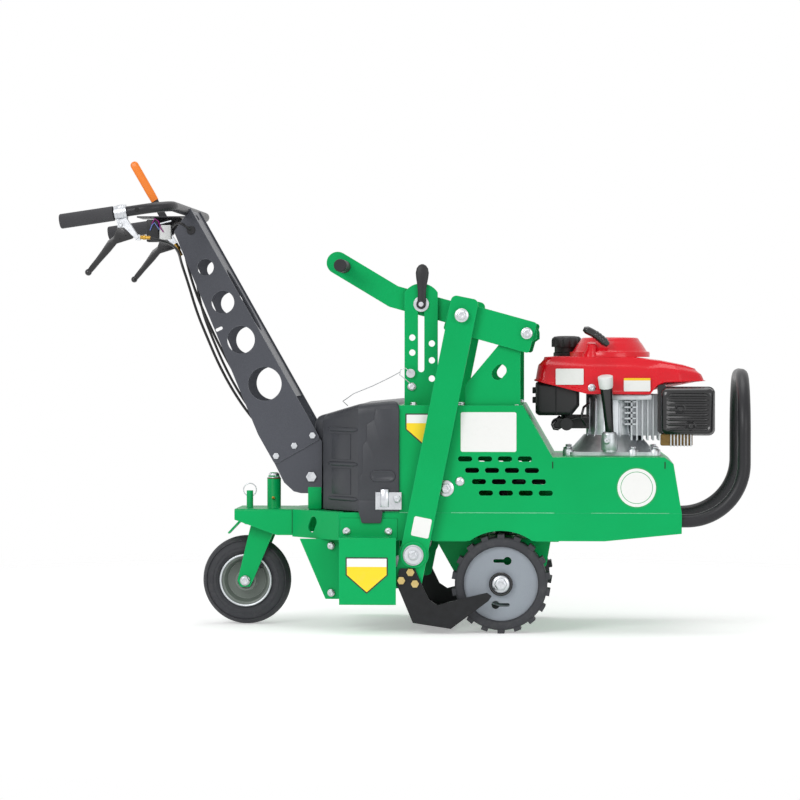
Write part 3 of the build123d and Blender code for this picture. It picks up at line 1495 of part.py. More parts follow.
with BuildPart() as recoil_housing:
    with BuildSketch(Plane.XY.offset(shroud_top_z)):
        with Locations((recoil_x, 0)):
            Circle(recoil_foot_r)
    with BuildSketch(Plane.XY.offset(recoil_shoulder_z)):
        with Locations((recoil_x, 0)):
            Circle(recoil_r)
    loft()
    with BuildSketch(Plane.XY.offset(recoil_shoulder_z)):
        with Locations((recoil_x, 0)):
            Circle(recoil_r)
    with BuildSketch(Plane.XY.offset(recoil_top_z)):
        with Locations((recoil_x, 0)):
            Circle(recoil_crown_r)
    loft()
    add(block(376, 402, pull_y - 9, -60, shroud_top_z, 611))
    add(leaning_rod(on_pull(-42), on_pull(-pull_grip_h / 2 - 1), 8))
    add(leaning_rod(on_pull(-36), on_pull(0), rope_r + 0.7), mode=Mode.SUBTRACT)
recoil_housing.part.label = "recoil_housing"
export_step(recoil_housing.part, "parts/recoil_housing.step")
with BuildPart() as recoil_grip:
    with BuildSketch(Plane.XZ.offset(pull_grip_y)):
        with Locations((pull_grip_x, pull_grip_z)):
            SlotOverall(pull_grip_l, pull_grip_h, rotation=-pull_lean)
    extrude(amount=pull_grip_t)
    fillet(faces().sort_by(Axis.Y)[0].edges(), 6)
    add(leaning_rod(on_pull(-30), on_pull(-4), rope_r))
recoil_grip.part.label = "recoil_grip"
export_step(recoil_grip.part, "parts/recoil_grip.step")

# Fuel cap with its neck
with BuildPart() as fuel_cap:
    add(upright_rod(cap_x, cap_y, recoil_shoulder_z, cap_top_z, cap_r))
    fillet(edges().group_by(Axis.Z)[-1], 7)
    add(upright_rod(cap_x, cap_y, shroud_top_z + seat_gap, recoil_shoulder_z, cap_neck_r))
fuel_cap.part.label = "fuel_cap"
export_step(fuel_cap.part, "parts/fuel_cap.step")

# Air cleaner box and carburettor below the rear of the shroud
with BuildPart() as air_cleaner:
    add(
        block(
            air_box_rear_x, air_box_rear_x + air_box_l, -86, 50, air_box_bottom_z, shroud_bottom_z + 20
        )
    )
    fillet(edges().filter_by(Axis.Z), 16)
    add(engine_shroud.part, mode=Mode.SUBTRACT)
air_cleaner.part.label = "air_cleaner"
export_step(air_cleaner.part, "parts/air_cleaner.step")
with BuildPart() as carburetor:
    add(block(330, 396, -50, 10, 444, air_box_bottom_z))
    fillet(edges().filter_by(Axis.Y).group_by(Axis.X)[0], 10)
    add(cross_rod(346, 454, -78, -48, 14))
    add(crankcase.part, mode=Mode.SUBTRACT)
carburetor.part.label = "carburetor"
export_step(carburetor.part, "parts/carburetor.step")

# Muffler with its louvred guard
muffler_rear_x = muffler_x - muffler_l / 2
muffler_fore_x = muffler_x + muffler_l / 2
muffler_top_z = muffler_bottom_z + muffler_h
guard_face_y = muffler_y - muffler_half_t
with BuildPart() as muffler:
    add(
        block(
            muffler_rear_x + guard_t, muffler_fore_x - guard_t, muffler_y - 16, muffler_y + 44,
            muffler_bottom_z + 8, muffler_top_z - 6,
        )
    )
    fillet(edges().filter_by(Axis.Y), 14)
muffler.part.label = "muffler"
export_step(muffler.part, "parts/muffler.step")
with BuildPart() as muffler_guard:
    add(
        block(
            muffler_rear_x, muffler_fore_x, guard_face_y, muffler_y + muffler_half_t,
            muffler_bottom_z, muffler_top_z,
        )
    )
    fillet(edges().filter_by(Axis.Y), 12)
    fillet(faces().sort_by(Axis.Y)[0].edges(), 3)
    add(
        block(
            muffler_rear_x + guard_t, muffler_fore_x - guard_t, guard_face_y + guard_t,
            muffler_y + muffler_half_t + 1, muffler_bottom_z + guard_t, muffler_top_z - guard_t,
        ),
        mode=Mode.SUBTRACT,
    )
    for louvre in range(louvre_n):
        slot_z = muffler_bottom_z + 16 + louvre * (muffler_h - 32) / (louvre_n - 1)
        add(
            block(
                muffler_rear_x + 18, muffler_fore_x - 14, guard_face_y - 1, guard_face_y + guard_t + 1,
                slot_z - louvre_h / 2, slot_z + louvre_h / 2,
            ),
            mode=Mode.SUBTRACT,
        )
muffler_guard.part.label = "muffler_guard"
export_step(muffler_guard.part, "parts/muffler_guard.step")

# Dipstick: a cap on the tube with the stick below it
stick_dir = (Vector(*dipstick_head) - Vector(*dipstick_foot)).normalized()


def on_stick(along):
    """Point on the dipstick's line, measured up from the top of its tube."""
    return tuple(Vector(*dipstick_head) + stick_dir * along)


with BuildPart() as dipstick:
    add(leaning_rod(on_stick(seat_gap), on_stick(12), dipstick_r + 4))
    add(leaning_rod(on_stick(12), on_stick(35), dipstick_cap_r))
    add(leaning_rod(on_stick(-80), on_stick(1), 2.5))
dipstick.part.label = "dipstick"
export_step(dipstick.part, "parts/dipstick.step")


def on_bar(x):
    """Height of the handlebar's centre line on its straight legs."""
    return bar_top_z - (bar_corner_x - x) * tan(radians(bar_fall))


# Lever perches: a clamp round the bar with two cheeks, a pin and the cable arm
perch_z = on_bar(perch_x)
lever_pivot_x = perch_x
lever_pivot_z = perch_z - perch_drop
cheek = brake_lever_t / 2 + seat_gap
with BuildPart() as perch:
    with BuildSketch(Plane(origin=(perch_x, -bar_half, perch_z), z_dir=grip_dir)):
        Circle(bar_r + 4.5)
        Circle(bar_r, mode=Mode.SUBTRACT)
    extrude(amount=perch_w / 2, both=True)
    for side in (-1, 1):
        with BuildSketch(Plane.XZ.offset(bar_half + side * (cheek + 1.5) - 1.5)):
            with BuildLine():
                Polyline(
                    (perch_x - 9, perch_z - bar_r - 2),
                    (perch_x + 12, perch_z - bar_r),
                    (perch_x + 40, perch_z - 54),
                    (perch_x + 33, perch_z - 58),
                    (perch_x + 8, lever_pivot_z - 6),
                    (perch_x - 6, lever_pivot_z - 6),
                    close=True,
                )
            make_face()
            with Locations((lever_pivot_x, lever_pivot_z)):
                Circle(lever_pin_r, mode=Mode.SUBTRACT)
        extrude(amount=3)
    add(block(perch_x + 32, perch_x + 42, -bar_half - cheek, -bar_half + cheek, perch_z - 60, perch_z - 48))
    add(cross_rod(lever_pivot_x, lever_pivot_z, -bar_half - cheek - 5, -bar_half + cheek + 5, lever_pin_r))
lever_perches = group("lever_perches", perch.part, perch.part.mirror(Plane.XZ))
export_step(lever_perches, "parts/lever_perches.step")

# Brake levers: a flat lever with a triangular heel and a ball at its tip
tip_x = lever_pivot_x - brake_lever_l * cos(radians(54.5))
tip_z = lever_pivot_z - brake_lever_l * sin(radians(54.5))
with BuildPart() as brake_lever:
    with BuildSketch(Plane.XZ.offset(bar_half - brake_lever_t / 2)):
        with BuildLine():
            Polyline(
                (lever_pivot_x - 7, lever_pivot_z + 4),
                (lever_pivot_x + 5, lever_pivot_z + 4),
                (lever_pivot_x + 22, lever_pivot_z - 26),
                (lever_pivot_x - 4, lever_pivot_z - 37),
                (tip_x + 9, tip_z + 3),
                (tip_x - 3, tip_z + 7),
                (lever_pivot_x - 22, lever_pivot_z - 20),
                close=True,
            )
        make_face()
        with Locations((tip_x, tip_z)):
            Circle(7)
        with Locations((lever_pivot_x, lever_pivot_z)):
            Circle(lever_pin_r + pin_fit, mode=Mode.SUBTRACT)
    extrude(amount=brake_lever_t)
right_brake_lever = brake_lever.part
right_brake_lever.label = "right_brake_lever"
export_step(right_brake_lever, "parts/right_brake_lever.step")
left_brake_lever = brake_lever.part.mirror(Plane.XZ)
left_brake_lever.label = "left_brake_lever"
export_step(left_brake_lever, "parts/left_brake_lever.step")

# Control bracket: a folded plate behind the bar's cross tube with two ears for the speed lever
bracket_z = bar_top_z - bar_r - 3
with BuildPart() as control_bracket:
    add(block(speed_pivot_x - 62, bar_corner_x + 6, -46, 46, bracket_z, bracket_z + 3))
    with BuildSketch(Plane.XY.offset(bracket_z)):
        with Locations((speed_pivot_x - 5, 0)):
            Rectangle(64, 7)
    extrude(amount=3, mode=Mode.SUBTRACT)
    for side in (-1, 1):
        with BuildSketch(Plane.XZ.offset(side * 5.5 - 1.5)):
            with BuildLine():
                Polyline(
                    (speed_pivot_x - 30, bracket_z),
                    (speed_pivot_x + 34, bracket_z),
                    (speed_pivot_x + 14, speed_pivot_z - 26),
                    (speed_pivot_x - 14, speed_pivot_z - 26),
                    close=True,
                )
            make_face()
        extrude(amount=3)
    add(cross_rod(speed_pivot_x, speed_pivot_z, -10, 10, 4))
control_bracket.part.label = "control_bracket"
export_step(control_bracket.part, "parts/control_bracket.step")

# Speed lever: a flat steel bar with a coloured sleeve
lever_lean_plane = Plane(
    origin=(speed_pivot_x, 2.5, speed_pivot_z),
    x_dir=(-sin(radians(speed_lever_lean)), 0, cos(radians(speed_lever_lean))),
    z_dir=(0, -1, 0),
)
sleeve_l = 104.0
with BuildPart() as speed_lever:
    with BuildSketch(lever_lean_plane):
        with Locations((speed_lever_l / 2 - 6, 0)):
            RectangleRounded(speed_lever_l + 12, 16, 7)
        Circle(4 + pin_fit, mode=Mode.SUBTRACT)
    extrude(amount=5)
speed_lever.part.label = "speed_lever"
export_step(speed_lever.part, "parts/speed_lever.step")
sleeve_end = speed_lever_l + 20
with BuildPart() as lever_sleeve:
    with BuildSketch(lever_lean_plane.offset(-3.5)):
        with Locations((sleeve_end - sleeve_l / 2, 0)):
            SlotOverall(sleeve_l, 2 * speed_knob_r + 3)
    extrude(amount=12)
    fillet(faces().sort_by(Axis.Y)[0].edges() + faces().sort_by(Axis.Y)[-1].edges(), 3)
    add(speed_lever.part, mode=Mode.SUBTRACT)
lever_sleeve.part.label = "lever_sleeve"
export_step(lever_sleeve.part, "parts/lever_sleeve.step")


# Control cables: brake cables from the perches and the speed cable from its bracket
def cable(points):
    """Round cable along straight runs joined by arcs as large as the shorter run allows."""
    corners = [Vector(*point) for point in points]
    radii = []
    for before, here, after in zip(corners, corners[1:], corners[2:]):
        turn = (here - before).get_angle(after - here)
        run = min((here - before).length, (after - here).length)
        radii.append(0.45 * run / tan(radians(turn / 2)))
    print("cable radii", [round(radius) for radius in radii])
    with BuildPart() as body:
        with BuildLine() as route:
            FilletPolyline(*points, radius=radii)
        with BuildSketch(Plane(origin=route.line @ 0, z_dir=route.line % 0)):
            Circle(cable_r)
        sweep()
    run = sum(edge.length for edge in route.edges())
    print("cable length", round(run), "volume ratio", round(body.part.volume / (pi * cable_r ** 2 * run), 4))
    return body.part


arm_tip_x = perch_x + 42
arm_tip_z = perch_z - 54
right_cable = [
    (arm_tip_x + 2, -bar_half, arm_tip_z),
    (arm_tip_x + 42, -bar_half + 14, arm_tip_z - 4),
    (arm_tip_x + 62, -bar_half + 64, arm_tip_z - 14),
    (arm_tip_x + 66, -bar_half + 126, arm_tip_z - 28),
    (arm_tip_x + 62, -130, arm_tip_z - 48),
    (-500, -72, 768),
    (-484, -50, 704),
    (-460, -44, 644),
    (-434, -44, 584),
    (-404, -42, 528),
    (-370, -42, 478),
    (-332, -42, 434),
    (-290, -42, 402),
    (-246, -42, 386),
    (cover_tail_x - 0.3, -42, 382),
]
left_cable = [
    (arm_tip_x + 2, bar_half, arm_tip_z),
    (arm_tip_x + 42, bar_half - 14, arm_tip_z - 4),
    (arm_tip_x + 62, bar_half - 64, arm_tip_z - 14),
    (arm_tip_x + 66, bar_half - 126, arm_tip_z - 28),
    (arm_tip_x + 62, 130, arm_tip_z - 48),
    (-500, 72, 768),
    (-484, 50, 704),
    (-460, 44, 644),
    (-434, 44, 584),
    (-404, 42, 528),
    (-370, 42, 478),
    (-332, 42, 434),
    (-290, 42, 402),
    (-246, 42, 386),
    (cover_tail_x - 0.3, 42, 382),
]
speed_cable = [
    (speed_pivot_x + 20, 14, speed_pivot_z - 12),
    (speed_pivot_x + 34, 14, speed_pivot_z - 44),
    (-512, 10, 806),
    (-494, 4, 750),
    (-470, 0, 694),
    (-444, 0, 638),
    (-414, 0, 582),
    (-382, 0, 530),
    (-348, 0, 482),
    (-312, 0, 438),
    (-272, 0, 408),
    (-230, 0, 394),
    (cover_tail_x - 0.3, 0, 390),
]
control_cables = group("control_cables", cable(right_cable), cable(left_cable), cable(speed_cable))
export_step(control_cables, "parts/control_cables.step")
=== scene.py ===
# %% [markdown]
# # A sod cutter, dressed piece by piece
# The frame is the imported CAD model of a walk-behind sod cutter: +X is the front with the tube
# bumper, +Z is up, and the operator walks behind the handle. Every length is in metres. The
# CAD pieces whose shape is right stay and only get a finish. The pieces that need softer or
# richer forms are modelled here and stand in for their CAD node.

# %% Load the frame
from math import atan2, cos, hypot, pi, radians, sin, tan

import bpy
from mathutils import Euler, Matrix, Vector


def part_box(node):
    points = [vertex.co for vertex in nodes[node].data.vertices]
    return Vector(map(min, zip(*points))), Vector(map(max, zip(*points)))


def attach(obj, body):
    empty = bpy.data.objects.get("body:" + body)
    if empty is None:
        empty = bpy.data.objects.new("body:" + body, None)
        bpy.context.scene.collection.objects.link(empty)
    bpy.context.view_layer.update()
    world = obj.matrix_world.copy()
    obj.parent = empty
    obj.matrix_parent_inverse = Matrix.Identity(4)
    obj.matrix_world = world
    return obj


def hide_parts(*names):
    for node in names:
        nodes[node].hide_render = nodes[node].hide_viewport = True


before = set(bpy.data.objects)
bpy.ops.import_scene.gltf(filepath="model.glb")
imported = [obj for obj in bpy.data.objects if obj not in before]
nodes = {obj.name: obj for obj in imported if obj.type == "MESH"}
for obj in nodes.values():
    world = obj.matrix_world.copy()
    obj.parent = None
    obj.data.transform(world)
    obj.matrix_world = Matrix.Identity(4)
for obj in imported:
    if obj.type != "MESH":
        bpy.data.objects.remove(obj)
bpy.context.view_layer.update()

# %% [markdown]
# ## Camera
# The photograph was taken from the machine's right, 6.5 m away, with a long lens. Lines that
# run across the machine meet well to the right of the picture's middle, so the camera stands
# near the engine's rear edge and turns a little to the left. A long lens is what keeps the
# two sides of the handle channel almost on top of each other.

# %% Camera
EYE = Vector((0.3866, -6.5, 0.6185))
LENS_PX = 2889
FRAME_PX = 800
MEETING_PX = (585, 350)
SENSOR_MM = 36
camera_data = bpy.data.cameras.new("photo_camera")
camera_data.sensor_width = SENSOR_MM
camera_data.lens = LENS_PX / FRAME_PX * SENSOR_MM
camera = bpy.data.objects.new("photo_camera", camera_data)
bpy.context.scene.collection.objects.link(camera)
gaze = Vector(
    (FRAME_PX / 2 - MEETING_PX[0], LENS_PX, MEETING_PX[1] - FRAME_PX / 2)
).normalized()
camera.location = EYE
camera.rotation_mode = "QUATERNION"
camera.rotation_quaternion = gaze.to_track_quat("-Z", "Y")
bpy.context.scene.camera = camera
bpy.context.scene.view_settings.view_transform = "Standard"
print("camera lens", round(camera_data.lens, 1), "mm")


def deselect_all():
    """Nothing selected, so that the next operator acts only on what is added or picked."""
    if bpy.context.object and bpy.context.object.mode != "OBJECT":
        bpy.ops.object.mode_set(mode="OBJECT")
    bpy.ops.object.select_all(action="DESELECT")


# %% [markdown]
# ## Shader maths in plain Python
# A finish is a small program: noise, ramps and masks that end in a colour, a roughness and a
# bump. Wiring Math nodes by hand hides the idea, so one small class wraps a socket and lets
# `mask * 0.4 + 0.1` add the nodes. Everything reads object coordinates in metres, so a
# pattern has its real size on every piece and stays put when the piece moves.

# %% Shader maths
def shade(code):
    """Linear colour of a hex code, as a camera would show it under plain light."""
    parts = [int(code[i:i + 2], 16) / 255 for i in (0, 2, 4)]
    linear = [p / 12.92 if p <= 0.04045 else ((p + 0.055) / 1.055) ** 2.4 for p in parts]
    return (*linear, 1.0)


class Wire:
    """One socket of a finish. Python's operators on it add Math nodes."""

    def __init__(self, finish, socket):
        self.finish = finish
        self.socket = socket

    def maths(self, operation, first, second=0.0):
        return self.finish.node("ShaderNodeMath", {"operation": operation}, {0: first, 1: second})

    def __add__(self, other):
        return self.maths("ADD", self, other)

    def __sub__(self, other):
        return self.maths("SUBTRACT", self, other)

    def __rsub__(self, other):
        return self.maths("SUBTRACT", other, self)

    def __mul__(self, other):
        return self.maths("MULTIPLY", self, other)

    def __gt__(self, other):
        return self.maths("GREATER_THAN", self, other)

    __radd__ = __add__
    __rmul__ = __mul__

    def wave(self):
        return self.maths("SINE", self)

    def size(self):
        return self.maths("ABSOLUTE", self)


FINISHES = {}


class Finish:
    """A procedural material: a Principled shader and the nodes that feed it."""

    def __init__(self, name, **plain):
        self.material = bpy.data.materials.new("look_" + name)
        FINISHES[name] = self.material
        self.material.use_nodes = True
        self.tree = self.material.node_tree
        self.shader = self.tree.nodes["Principled BSDF"]
        self.place = self.node("ShaderNodeTexCoord", {}, {}, "Object")
        for socket, value in plain.items():
            self.feed(self.shader.inputs[socket.replace("_", " ")], value)

    def node(self, kind, settings, inputs, output=0):
        made = self.tree.nodes.new(kind)
        for key, value in settings.items():
            if key == "stops":
                ramp = made.color_ramp.elements
                while len(ramp) < len(value):
                    ramp.new(0.5)
                for stop, (at, colour) in zip(ramp, value):
                    stop.position = at
                    stop.color = colour
            else:
                setattr(made, key, value)
        for key, value in inputs.items():
            self.feed(made.inputs[key], value)
        return Wire(self, made.outputs[output])

    def feed(self, socket, value):
        if isinstance(value, Wire):
            self.tree.links.new(value.socket, socket)
        else:
            socket.default_value = value

    def set(self, socket, value):
        self.feed(self.shader.inputs[socket], value)

    def stretched(self, scale, turn=(0, 0, 0)):
        return self.node("ShaderNodeMapping", {}, {"Vector": self.place, "Scale": scale, "Rotation": turn})

    def noise(self, scale, detail=3.0, rough=0.5, place=None):
        return self.node(
            "ShaderNodeTexNoise",
            {},
            {"Vector": place or self.place, "Scale": scale, "Detail": detail, "Roughness": rough},
        )

    def ramp(self, value, *stops):
        stops = [(at, (level, level, level, 1)) for at, level in stops]
        return self.node("ShaderNodeValToRGB", {"stops": stops}, {0: value})

    def mix(self, mask, first, second):
        """First colour where the mask is 0, second where it is 1."""
        return self.node("ShaderNodeMix", {"data_type": "RGBA"}, {0: mask, 6: first, 7: second}, 2)

    def axis(self, letter, place=None):
        return self.node("ShaderNodeSeparateXYZ", {}, {0: place or self.place}, "XYZ".index(letter))

    def bump(self, height, strength, distance=0.001, under=None):
        inputs = {"Height": height, "Strength": strength, "Distance": distance}
        if under:
            inputs["Normal"] = under
        return self.node("ShaderNodeBump", {}, inputs)

    def soft_edges(self, radius):
        return self.node("ShaderNodeBevel", {"samples": 4}, {"Radius": radius})

    def edge_highlight_mask(self, radius, low=0.02, high=0.12):
        """White where an edge is sharper than the radius: the painted highlight line goes there."""
        rounded = self.soft_edges(radius)
        true_normal = self.node("ShaderNodeNewGeometry", {}, {}, "True Normal")
        match = self.node(
            "ShaderNodeVectorMath", {"operation": "DOT_PRODUCT"}, {0: rounded, 1: true_normal}, "Value"
        )
        return self.ramp(1 - match, (low, 0), (high, 1))


# %% [markdown]
# ## The finishes
# Powder coat is what gives the machine its look: a saturated colour, half gloss, with a fine
# orange peel that only shows in highlights, and a painted highlight along the edges. Zinc,
# cast aluminium, moulded plastic and rubber each get their own grain. The varying part of
# each finish feeds only colour, roughness and normal, so it can be baked.

# %% Painted metal
def painted(name, colour, deep, bright, roughness=0.34, peel=0.10, highlight_colour=None, highlight_share=0.5, gloss=0.35):
    """Powder coat: a cloudy colour, a fine orange peel, and a painted highlight line on the edges."""
    finish = Finish(name, Specular_IOR_Level=gloss)
    clouds = finish.ramp(finish.noise(3.0, 4.0, 0.6), (0.35, 0), (0.68, 1))
    tone = finish.mix(clouds * 0.75, shade(deep), shade(colour))
    flecks = finish.ramp(finish.noise(900.0, 2.0), (0.45, 0), (0.62, 1))
    tone = finish.mix(flecks * 0.07, tone, shade(bright))
    # Painted highlight: sharp edges are lightened toward the bright colour, as if they caught the light.
    edges = finish.edge_highlight_mask(0.0022)
    tone = finish.mix(edges * highlight_share, tone, shade(highlight_colour or bright))
    finish.set("Base Color", tone)
    smears = finish.noise(22.0, 5.0, 0.7, finish.stretched((1, 1, 0.4)))
    finish.set("Roughness", smears * 0.16 + (roughness - 0.08))
    finish.set("Normal", finish.bump(finish.noise(420.0, 2.0), peel, 0.0006, finish.soft_edges(0.0012)))
    return finish.material


green_paint = painted("green_paint", "00B263", "00A659", "3FCB8A", 0.36, 0.08, gloss=0.14)
charcoal_paint = painted("charcoal_paint", "4C4E56", "42444B", "83868F", 0.40, 0.22, "9A9DA6", 0.35)
black_paint = painted("black_paint", "232327", "1B1B1E", "4E4F55", 0.38, 0.16, "6A6B72", 0.25)
hub_paint = painted("hub_paint", "99A0A9", "878E97", "C9CED4", 0.40, 0.14)
rim_paint = painted("rim_paint", "7F8781", "6B736D", "C4CAC6", 0.38, 0.10)
print("painted finishes ready")


# %% Bare metals
def bare_metal(name, colour, deep, roughness, grain, stretch=(1, 1, 1), bump=0.08, metallic=1.0):
    """Zinc, steel or cast metal: mottled colour and roughness over a grain of its own size."""
    finish = Finish(name, Metallic=metallic)
    mottle = finish.ramp(finish.noise(55.0, 4.0, 0.65), (0.3, 0), (0.7, 1))
    fine = finish.noise(grain, 3.0, 0.6, finish.stretched(stretch))
    finish.set("Base Color", finish.mix(mottle * 0.6 + fine * 0.3, shade(deep), shade(colour)))
    finish.set("Roughness", mottle * 0.12 + fine * 0.12 + (roughness - 0.10))
    finish.set("Normal", finish.bump(fine, bump, 0.0005, finish.soft_edges(0.0008)))
    return finish.material


zinc = bare_metal("zinc_plate", "D9DBDE", "B9BCC1", 0.30, 700.0, bump=0.02)
dark_steel = bare_metal("blade_steel", "232427", "161618", 0.40, 260.0, (1, 1, 0.2), 0.10, 0.5)
cast_aluminium = bare_metal("cast_aluminium", "DADDE0", "B6BABF", 0.42, 520.0, (1, 1, 1), 0.30, 0.9)
cast_iron = bare_metal("cast_case", "4B4D50", "333437", 0.60, 320.0, (1, 1, 1), 0.45, 0.6)
bronzed_steel = bare_metal("heat_bronzed_steel", "8C7448", "4A3620", 0.38, 90.0, (1, 1, 0.3), 0.10)
yellow_zinc = bare_metal("yellow_zinc", "DCC88E", "B59A5E", 0.30, 700.0, bump=0.02)
brass = bare_metal("brass", "C9A04A", "94702C", 0.28, 600.0)
print("metals ready")


# %% Plastics and rubber
def moulded(name, colour, deep, roughness, grain=0.12, grain_scale=1100.0, coat=0.0, sheen=0.0):
    """Moulded plastic or rubber: even colour and a fine spark-eroded grain."""
    finish = Finish(name, Coat_Weight=coat, Coat_Roughness=0.08, Specular_IOR_Level=0.4)
    clouds = finish.ramp(finish.noise(9.0, 4.0, 0.6), (0.3, 0), (0.7, 1))
    tone = finish.mix(clouds * 0.8, shade(deep), shade(colour))
    if sheen:
        dust = finish.ramp(finish.noise(60.0, 5.0, 0.7), (0.5, 0), (0.75, 1))
        tone = finish.mix(dust * sheen, tone, shade("8C8A86"))
    finish.set("Base Color", tone)
    finish.set("Roughness", finish.noise(30.0, 4.0, 0.6) * 0.14 + (roughness - 0.07))
    finish.set("Normal", finish.bump(finish.noise(grain_scale, 2.0), grain, 0.0004, finish.soft_edges(0.001)))
    return finish.material


red_plastic = moulded("red_shroud_plastic", "EB0020", "DD001A", 0.26, 0.02, 500.0, 0.1)
black_plastic = moulded("black_plastic", "242427", "1B1B1D", 0.46, 0.30)
gloss_black = moulded("gloss_black_enamel", "1B1B1E", "131315", 0.22, 0.03, 400.0, 0.4)
cover_plastic = moulded("cover_plastic", "3E4046", "33353A", 0.36, 0.50, 700.0)
orange_plastic = moulded("orange_sleeve", "FF8A1E", "F57F12", 0.30, 0.05, 600.0, 0.2)
white_plastic = moulded("white_cap_plastic", "EEF0EF", "E0E2E1", 0.35, 0.05)
foam_rubber = moulded("foam_grip", "48484B", "3B3B3E", 0.80, 0.8, 900.0)
grip_rubber = moulded("grip_rubber", "26262A", "1C1C1F", 0.62, 0.35, 700.0)
tyre_rubber = moulded("tyre_rubber", "3A3B40", "2E2F33", 0.66, 0.5, 500.0, 0.0, 0.10)
belt_rubber = moulded("belt_rubber", "1D1D1F", "151516", 0.75, 0.4, 800.0)
cable_sheath = moulded("cable_sheath", "1A1A1C", "121213", 0.40, 0.05, 900.0)
print("plastics ready")

# %% [markdown]
# ## Finishes on the CAD pieces
# Most plates, rods and wheels already have their real shape in the CAD model. The packed
# meshes are loose triangles, so three live modifiers tidy each one without touching its
# vertices: Weld joins the triangles, a planar Decimate turns flat parts into single faces,
# and Bevel gives each sheet-metal edge the small radius that catches light.

# %% CAD finishes
NODE_FINISH = {
    "green_paint": [
        "lower_frame", "housing_side_panels", "housing_top_plates", "rocker_uprights",
        "depth_quadrant", "rocker_channel", "depth_lever_bar", "blade_arms", "gearbox_hangers",
        "guard_boxes", "axle_plates", "caster_arm", "caster_fork",
    ],
    "charcoal_paint": ["handle_channel", "handle_gussets"],
    "black_paint": ["bumper", "handlebar", "control_bracket", "speed_lever"],
    "gloss_black_enamel": ["muffler_guard", "right_brake_lever", "left_brake_lever"],
    "hub_paint": ["drive_hubs"],
    "rim_paint": ["caster_rim"],
    "zinc_plate": [
        "clamp_bolt", "rocker_pivot_bolts", "arm_pivot_bolts", "pitman_rods",
        "caster_axle", "swivel_lock", "bolts_and_clips", "lever_perches", "stop_pin",
        "axle_shaft", "crankshaft",
    ],
    "yellow_zinc": ["blade_bolts"],
    "blade_steel": ["blade", "eccentric_shaft"],
    "cast_aluminium": ["engine_block"],
    "cast_case": ["blade_gearbox", "transaxle", "gearbox_pulley", "transaxle_pulley"],
    "heat_bronzed_steel": ["muffler"],
    "red_shroud_plastic": ["engine_shroud", "recoil_housing"],
    "black_plastic": ["recoil_grip", "fuel_cap", "air_cleaner", "carburetor", "clamp_lever"],
    "cover_plastic": ["transmission_cover"],
    "orange_sleeve": ["lever_sleeve"],
    "white_cap_plastic": ["dipstick"],
    "foam_grip": ["foam_grips"],
    "grip_rubber": ["lever_grip"],
    "tyre_rubber": ["drive_tyres", "caster_tyre"],
    "belt_rubber": ["drive_belts"],
    "cable_sheath": ["control_cables"],
}
for finish_name, node_names in NODE_FINISH.items():
    for node_name in node_names:
        mesh = nodes[node_name].data
        mesh.materials.clear()
        mesh.materials.append(FINISHES[finish_name])
dressed = {name for names in NODE_FINISH.values() for name in names}
print("nodes without a finish:", sorted(set(nodes) - dressed))

# %% Rounded sheet edges
SHEET_EDGE = 0.0008
SOFT_EDGE = {
    "lower_frame": SHEET_EDGE, "housing_side_panels": SHEET_EDGE, "housing_top_plates": SHEET_EDGE,
    "rocker_uprights": SHEET_EDGE, "depth_quadrant": SHEET_EDGE, "rocker_channel": SHEET_EDGE,
    "depth_lever_bar": 0.001, "blade_arms": 0.0012, "gearbox_hangers": SHEET_EDGE,
    "guard_boxes": SHEET_EDGE, "axle_plates": SHEET_EDGE, "caster_arm": SHEET_EDGE,
    "caster_fork": SHEET_EDGE, "handle_channel": 0.0006, "handle_gussets": SHEET_EDGE,
    "bolts_and_clips": 0.0004, "clamp_bolt": 0.0005, "rocker_pivot_bolts": 0.0006,
    "arm_pivot_bolts": 0.0006, "blade_bolts": 0.0005, "caster_axle": 0.0005,
}
for node_name, width in SOFT_EDGE.items():
    piece = nodes[node_name]
    piece.modifiers.new("join_triangles", "WELD").merge_threshold = 1e-5
    flat = piece.modifiers.new("one_face_per_plane", "DECIMATE")
    flat.decimate_type = "DISSOLVE"
    flat.angle_limit = radians(0.5)
    edge = piece.modifiers.new("edge_radius", "BEVEL")
    edge.width = width
    edge.segments = 2
    edge.limit_method = "ANGLE"
    edge.angle_limit = radians(40)
print("edges rounded on", len(SOFT_EDGE), "nodes")

# %% [markdown]
# ## One way to build a skin
# Nearly every moulded or turned piece here is a closed skin over rings of points. A plain
# tube with the right number of rings is extruded first, and then each corner goes to its
# place. A plate is two rings of its outline, a knob is a stack of circles, a bent tube is a
# circle carried along a path, and a shroud is its plan drawn in at several heights.

# %% Skin over rings
def skin(name, rings, closed=True):
    """A mesh over rings of equally many points; closed gives it both end faces."""
    sides = len(rings[0])
    deselect_all()
    bpy.ops.mesh.primitive_circle_add(vertices=sides, radius=1, fill_type="NGON")
    piece = bpy.context.object
    piece.name = name
    first = atan2(piece.data.vertices[0].co.y, piece.data.vertices[0].co.x)
    bpy.ops.object.mode_set(mode="EDIT")
    bpy.ops.mesh.select_all(action="SELECT")
    for _ in rings[1:]:
        bpy.ops.mesh.extrude_region_move(TRANSFORM_OT_translate={"value": (0, 0, 1)})
    bpy.ops.object.mode_set(mode="OBJECT")
    for vertex in piece.data.vertices:
        turn = atan2(vertex.co.y, vertex.co.x) - first
        vertex.co = rings[round(vertex.co.z)][round(turn / (2 * pi) * sides) % sides]
    bpy.ops.object.mode_set(mode="EDIT")
    bpy.ops.mesh.select_all(action="SELECT")
    if not closed:
        bpy.ops.mesh.select_all(action="DESELECT")
        bpy.ops.mesh.select_face_by_sides(number=sides, type="EQUAL")
        bpy.ops.mesh.delete(type="FACE")
        bpy.ops.mesh.select_all(action="SELECT")
        bpy.ops.mesh.remove_doubles(threshold=0.000001)
    bpy.ops.mesh.normals_make_consistent(inside=False)
    bpy.ops.object.mode_set(mode="OBJECT")
    return piece


